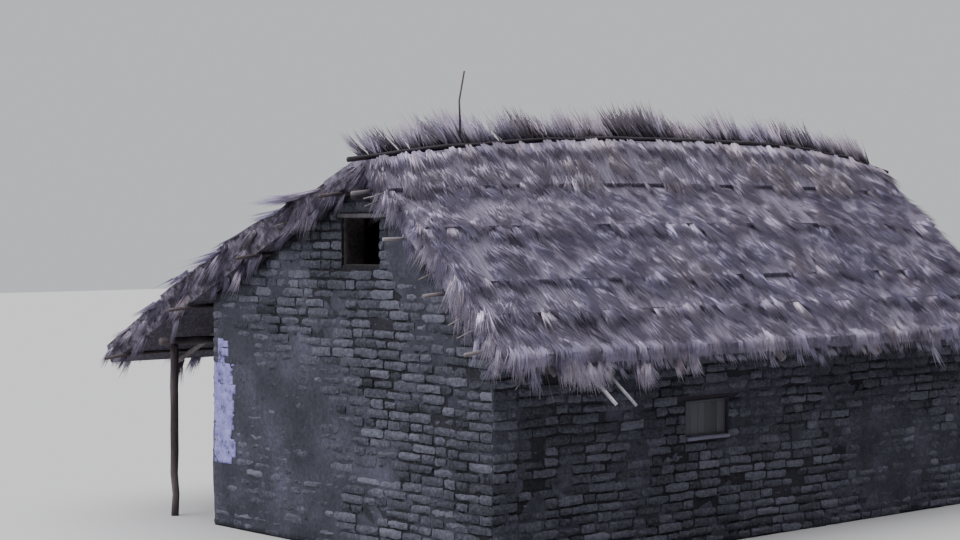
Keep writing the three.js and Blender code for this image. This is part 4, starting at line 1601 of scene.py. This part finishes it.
def knots_along(line, step):
    """Places along a line of points, about one step apart, with its corners kept."""
    knots = [line[0]]
    for start, end in zip(line, line[1:]):
        parts = max(1, round((end - start).length / step))
        knots += [start.lerp(end, part / parts) for part in range(1, parts + 1)]
    return knots


def put_ring(ring, place, before, after, size, oval):
    """Moves a ring of points to a place across a pole, each point on its own spoke of an uneven circle.

    Before and after are the two directions that span the ring, where it is and where it goes.
    """
    middle = sum((vertex.co for vertex in ring), Vector()) / len(ring)
    spokes = [vertex.co - middle for vertex in ring]
    for vertex, spoke in zip(ring, spokes):
        angle = math.atan2(spoke.dot(before[1]), spoke.dot(before[0]))
        index = round(angle / math.tau * len(ring)) % len(ring)
        side = after[0] * math.cos(angle) + after[1] * math.sin(angle)
        vertex.co = place + side * size * oval[index]


def crooked_pole(name, line, radius, tip_share, sway, seed, droop=0.0, sides=POLE_SIDES, step=POLE_KNOT):
    """A tapered pole along a line. It sways off it between its ends, and its free ends may droop."""
    knots = knots_along(line, step)
    direction = (knots[-1] - knots[0]).normalized()
    first = direction.orthogonal().normalized()
    second = direction.cross(first)
    rng = random.Random(seed)
    oval = [rng.uniform(0.9, 1.08) for _ in range(sides)]
    length = (knots[-1] - knots[0]).length
    bends = [Vector((0, rng.uniform(-0.8, 0.8), rng.uniform(-1.0, 0.1))) * droop for _ in range(2)]
    shape = bmesh.new()
    made = bmesh.ops.create_circle(shape, cap_ends=True, segments=sides, radius=1.0)
    ring = made["verts"]
    cap = shape.faces[:]
    across = Vector((1, 0, 0)), Vector((0, 1, 0))
    for number, knot in enumerate(knots):
        share = number / (len(knots) - 1)
        size = radius * (1 + (tip_share - 1) * share) * rng.uniform(0.93, 1.06)
        free = min(1.0, 6 * share * (1 - share))
        place = knot + first * noise.noise(Vector((share * 5, seed, 0))) * sway * free
        place += second * noise.noise(Vector((0, share * 5, seed))) * sway * free
        to_end = min(share, 1 - share) * length
        place += bends[round(share)] * max(0.0, 1 - to_end / FREE_END) ** 2
        if number:
            grown = bmesh.ops.extrude_face_region(shape, geom=cap)["geom"]
            ring = [item for item in grown if isinstance(item, bmesh.types.BMVert)]
            cap = [item for item in grown if isinstance(item, bmesh.types.BMFace)]
        put_ring(ring, place, across, (first, second), size, oval)
        across = first, second
    bmesh.ops.recalc_face_normals(shape, faces=shape.faces[:])
    piece = object_from(shape, name)
    piece.data.shade_smooth()
    return piece


def pole_for(name, material, tip_share, sway, size, droop):
    """A crooked pole that stands for a straight solid."""
    line, radius = axis_of(name)
    seed = sum(map(ord, name)) % 97 + 1
    piece = crooked_pole(name + "_crooked", line, radius * size, tip_share, sway, seed, droop)
    set_down(piece, material, SLOT_OF[name], name)


# %% [markdown]
# Each kind of pole has its own bark, taper and sway. Battens stick out past the verges, where nothing carries
# them, so their ends droop a little.

# %% Poles of the house
POLES = {
    # The back battens take the dark bark as painted shade, so that their ends stay dark under the rake.
    "back_batten": {"material": DARK_POLE, "tip_share": 0.75, "sway": 0.03, "size": 1.0, "droop": 0.06},
    "batten": {"material": PALE_POLE, "tip_share": 0.75, "sway": 0.03, "size": 1.0, "droop": 0.06},
    "rafter": {"material": PALE_RAFTER, "tip_share": 0.8, "sway": 0.03, "size": 1.0, "droop": 0.0},
    "plate": {"material": DARK_POLE, "tip_share": 0.9, "sway": 0.02, "size": 1.0, "droop": 0.0},
    "ridge_beam": {"material": RIDGE_BARK, "tip_share": 0.9, "sway": 0.0, "size": 1.0, "droop": 0.0},
    "post": {"material": DARK_POST, "tip_share": 0.85, "sway": 0.04, "size": 1.0, "droop": 0.0},
    "ridge_pole": {"material": RIDGE_BARK, "tip_share": 0.75, "sway": 0.03, "size": 0.95, "droop": 0.0},
    "ridge_stick": {"material": DARK_POST, "tip_share": 0.7, "sway": 0.03, "size": 1.0, "droop": 0.0},
}
made_before = len(ADDED)
for name in nodes:
    kind = next((kind for kind in POLES if kind in name), None)
    if kind:
        pole_for(name, **POLES[kind])
print("crooked poles:", len(ADDED) - made_before)

# %% [markdown]
# A pole lies on the thatch along the rake of the back slope. Thin sticks poke out of the thatch: ends of
# battens at the near verge, two rafters that were cut again and still show pale wood, and a few twigs under
# the eave. Each starts inside the thatch, which holds it.

# %% Loose sticks
VERGE_STICKS = [
    ((0.15, 1.70, 4.46), (-0.50, 1.70, 4.31), 0.012), ((0.10, 1.78, 4.40), (-0.46, 1.73, 4.22), 0.010),
    ((0.10, 0.80, 3.52), (-0.46, 0.75, 3.38), 0.011), ((0.10, 0.34, 3.08), (-0.42, 0.28, 2.88), 0.012),
    ((0.10, 0.14, 2.90), (-0.43, 0.12, 2.74), 0.010), ((0.10, 3.40, 4.12), (-0.44, 3.55, 3.98), 0.010),
]
CUT_RAFTERS = [
    ((1.06, 0.13, 2.75), (1.464, -0.52, 1.924), 0.032), ((1.40, 0.10, 2.72), (1.799, -0.52, 1.891), 0.026),
]
TWIG_ROOT = (0.62, -0.12, 2.62)
TWIG_TIPS = [
    (-0.07, -0.45, 2.18), (0.03, -0.45, 2.34), (0.00, -0.42, 2.25), (0.35, -0.40, 2.05), (0.65, -0.32, 1.98),
]
TWIG_RADIUS = 0.007
STICK_SIDES = 6
STICK_KNOT = 0.15
RAKE_RADIUS = 0.02
RAKE_LIFT = RAKE_RADIUS * 0.7
WOOD_SLOT = SLOT_OF["front_rafter_1"]


def add_sticks(label, sticks, material, sway):
    """Thin tapered sticks from one place on the house to another, each with its radius."""
    for number, (start, end, radius) in enumerate(sticks):
        line = [spot(*start), spot(*end)]
        piece = crooked_pole(f"{label}_{number + 1}", line, radius, 0.7, sway, number + 3,
                             sides=STICK_SIDES, step=STICK_KNOT)
        set_down(piece, material, WOOD_SLOT)


def on_thatch(x, y, lift):
    """A place just above the thatch."""
    start = spot(x, y, HIGH_UP)
    return Vector((start.x, start.y, roof_tree.ray_cast(start, DOWN)[0].z + lift))


rake_line = [on_thatch(-0.10, y, RAKE_LIFT) for y in (2.5, 3.1, 3.7, 4.3, 4.9)]
rake_pole = crooked_pole("rake_pole", rake_line, RAKE_RADIUS, 0.6, 0.03, 9, sides=STICK_SIDES)
set_down(rake_pole, RIDGE_BARK, WOOD_SLOT)
add_sticks("verge_stick", VERGE_STICKS, PALE_POLE, 0.03)
add_sticks("cut_rafter", CUT_RAFTERS, CUT_POLE, 0.01)
add_sticks("eave_twig", [(TWIG_ROOT, tip, TWIG_RADIUS) for tip in TWIG_TIPS], PALE_RAFTER, 0.05)
print("loose sticks:", 1 + len(VERGE_STICKS) + len(CUT_RAFTERS) + len(TWIG_TIPS))

# %% [markdown]
# The wall is cut through at the gable windows and the front window, and mud was smeared over the cut. The
# lining starts as a box the size of the hole. Its two open faces are deleted, it is cut finer and nudged,
# and then it gets its thickness.

# %% Linings of the openings
LINING = 0.014
LINING_CUTS = 5
LINING_INSET = 0.004
LINING_ROUGH = 0.008
LIP = 0.01
SUNK = 0.03


def box_between(low, high):
    """A bmesh with a box between two corners."""
    shape = bmesh.new()
    matrix = Matrix.Translation((low + high) / 2) @ Matrix.Diagonal((*(high - low), 1))
    bmesh.ops.create_cube(shape, size=1.0, matrix=matrix)
    return shape


def lining(name, low, high, open_axis, material, seed):
    """A thin skin of mud on the four sides of a hole, which is open along one axis."""
    shape = box_between(low, high)
    open_faces = [face for face in shape.faces if abs(face.normal[open_axis]) > 0.9]
    bmesh.ops.delete(shape, geom=open_faces, context="FACES_ONLY")
    bmesh.ops.subdivide_edges(shape, edges=shape.edges[:], cuts=LINING_CUTS, use_grid_fill=True)
    middle = (low + high) / 2
    drift = Vector((seed, 0, 0))
    for vertex in shape.verts:
        inwards = middle - vertex.co
        inwards[open_axis] = 0
        rough = noise.noise(vertex.co * 9 + drift) + 0.5
        vertex.co += inwards.normalized() * (LINING_INSET + LINING_ROUGH * rough)
    shape.faces.ensure_lookup_table()
    first = shape.faces[0]
    inwards = middle - first.calc_center_median()
    inwards[open_axis] = 0
    face_towards(shape, [first], inwards)
    bmesh.ops.solidify(shape, geom=shape.faces[:], thickness=LINING)
    piece = object_from(shape, name)
    piece.data.shade_smooth()
    set_down(piece, material, "adobe")
    print(name, "has", len(piece.data.polygons), "faces")


GABLE_WINDOWS = {
    "near_gable_window": (SUNK, WALL_THICKNESS),
    "far_gable_window": (WALL_LENGTH - WALL_THICKNESS, WALL_LENGTH - SUNK),
}
for number, (name, (x0, x1)) in enumerate(GABLE_WINDOWS.items()):
    left, right, bottom, top = vent_openings(name + "_lintel")[1]
    lining(name + "_lining", spot(x0, left, bottom), spot(x1, right, top), 0, REVEAL_MUD, number)
left, right, bottom, top = front_hole
frame_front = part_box("front_window_frame")[0].y - CORNER.y
lining("front_window_lining", spot(left, -LIP, bottom), spot(right, frame_front, top), 1, PLASTER_MUD, 5)

# %% [markdown]
# The openings have plain sawn boards that weather has opened and greyed. A board is a cube that is cut
# across, worn by a bevel and nudged here and there, so its edges aren't dead straight.

# %% Boards
BOARD_CUT = 0.15
SHARP_TURN = 1.0


def worn_board(low, high, worn, rough, rng):
    """A mesh of one worn board between two corners."""
    shape = box_between(low, high)
    size = high - low
    long_axis = max(range(3), key=lambda axis: size[axis])
    along = edges_along(shape, long_axis, size[long_axis] / 2)
    cuts = max(2, int(size[long_axis] / BOARD_CUT))
    bmesh.ops.subdivide_edges(shape, edges=along, cuts=cuts, use_grid_fill=True)
    rim = [edge for edge in shape.edges if edge.calc_face_angle(0) > SHARP_TURN]
    bmesh.ops.bevel(shape, geom=rim, offset=worn, segments=1, profile=0.5, affect="EDGES", material=-1)
    for vertex in shape.verts:
        vertex.co += Vector([rng.gauss(0, rough) for _ in range(3)])
    mesh = bpy.data.meshes.new("board")
    shape.to_mesh(mesh)
    shape.free()
    return mesh


def board_piece(name, boards, material, worn, rough, seed, replaced):
    """One piece of one or more boards, each with its own tone, that stands for a solid."""
    rng = random.Random(seed)
    shape = bmesh.new()
    tones = []
    for low, high in boards:
        mesh = worn_board(low, high, worn, rough, rng)
        tones += [rng.uniform(0.0, 1.0)] * len(mesh.vertices)
        shape.from_mesh(mesh)
        bpy.data.meshes.remove(mesh)
    piece = object_from(shape, name)
    piece.data.attributes.new("tone", "FLOAT", "POINT").data.foreach_set("value", tones)
    set_down(piece, material, SLOT_OF[replaced], replaced)
    print(name, "has", len(boards), "boards and", len(piece.data.polygons), "faces")


def bars_around(low, high, width):
    """The boards of a frame inside a box: its two uprights, and its bottom and top between them."""
    return [
        (low, Vector((low.x + width, high.y, high.z))),
        (Vector((high.x - width, low.y, low.z)), high),
        (Vector((low.x + width, low.y, low.z)), Vector((high.x - width, high.y, low.z + width))),
        (Vector((low.x + width, low.y, high.z - width)), Vector((high.x - width, high.y, high.z))),
    ]


FRAME_BAR = 0.03
SILL = "front_window_sill"
FRAME = "front_window_frame"
for name in nodes:
    if name.endswith("lintel"):
        # The lintels of the front window and the door take the darkest bark: painted shade under the eaves.
        material = LINTEL_BOARD if "gable" in name else RIDGE_BARK
        board_piece(name + "_board", [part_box(name)], material, 0.006, 0.0016, len(name), name)
board_piece("front_window_sill_board", [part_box(SILL)], SILL_BOARD, 0.005, 0.0015, 5, SILL)
board_piece("front_window_bars", bars_around(*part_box(FRAME), FRAME_BAR), GREY_BOARD, 0.003, 0.0006, 6, FRAME)

# %% [markdown]
# The shutters are two leaves of upright planks. The planks of a leaf were cut from what there was, so they
# differ in width, stand a little in front of each other, and leave narrow splits between them.

# %% Shutters
PLANKS = 3
SPLIT = 0.003
PLANK_STEP = 0.004


def shutter(name, seed):
    """One leaf: upright planks of uneven width."""
    low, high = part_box(name)
    rng = random.Random(seed)
    inner = [number / PLANKS + rng.uniform(-0.05, 0.05) for number in range(1, PLANKS)]
    cuts = [0, *inner, 1]
    width = high.x - low.x
    boards = []
    for left, right in zip(cuts, cuts[1:]):
        x0 = low.x + width * left + (SPLIT / 2 if left else 0)
        x1 = low.x + width * right - (SPLIT / 2 if right < 1 else 0)
        front = low.y + rng.uniform(0, PLANK_STEP)
        boards.append((Vector((x0, front, low.z)), Vector((x1, high.y, high.z))))
    board_piece(name + "_planks", boards, GREY_BOARD, 0.002, 0.0005, seed, name)


shutter("shutter_left", 21)
shutter("shutter_right", 22)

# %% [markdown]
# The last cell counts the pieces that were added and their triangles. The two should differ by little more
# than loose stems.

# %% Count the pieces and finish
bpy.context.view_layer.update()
triangles = sum(len(face.vertices) - 2 for piece in ADDED for face in piece.data.polygons)
print("pieces:", len(ADDED), "with", triangles, "triangles")
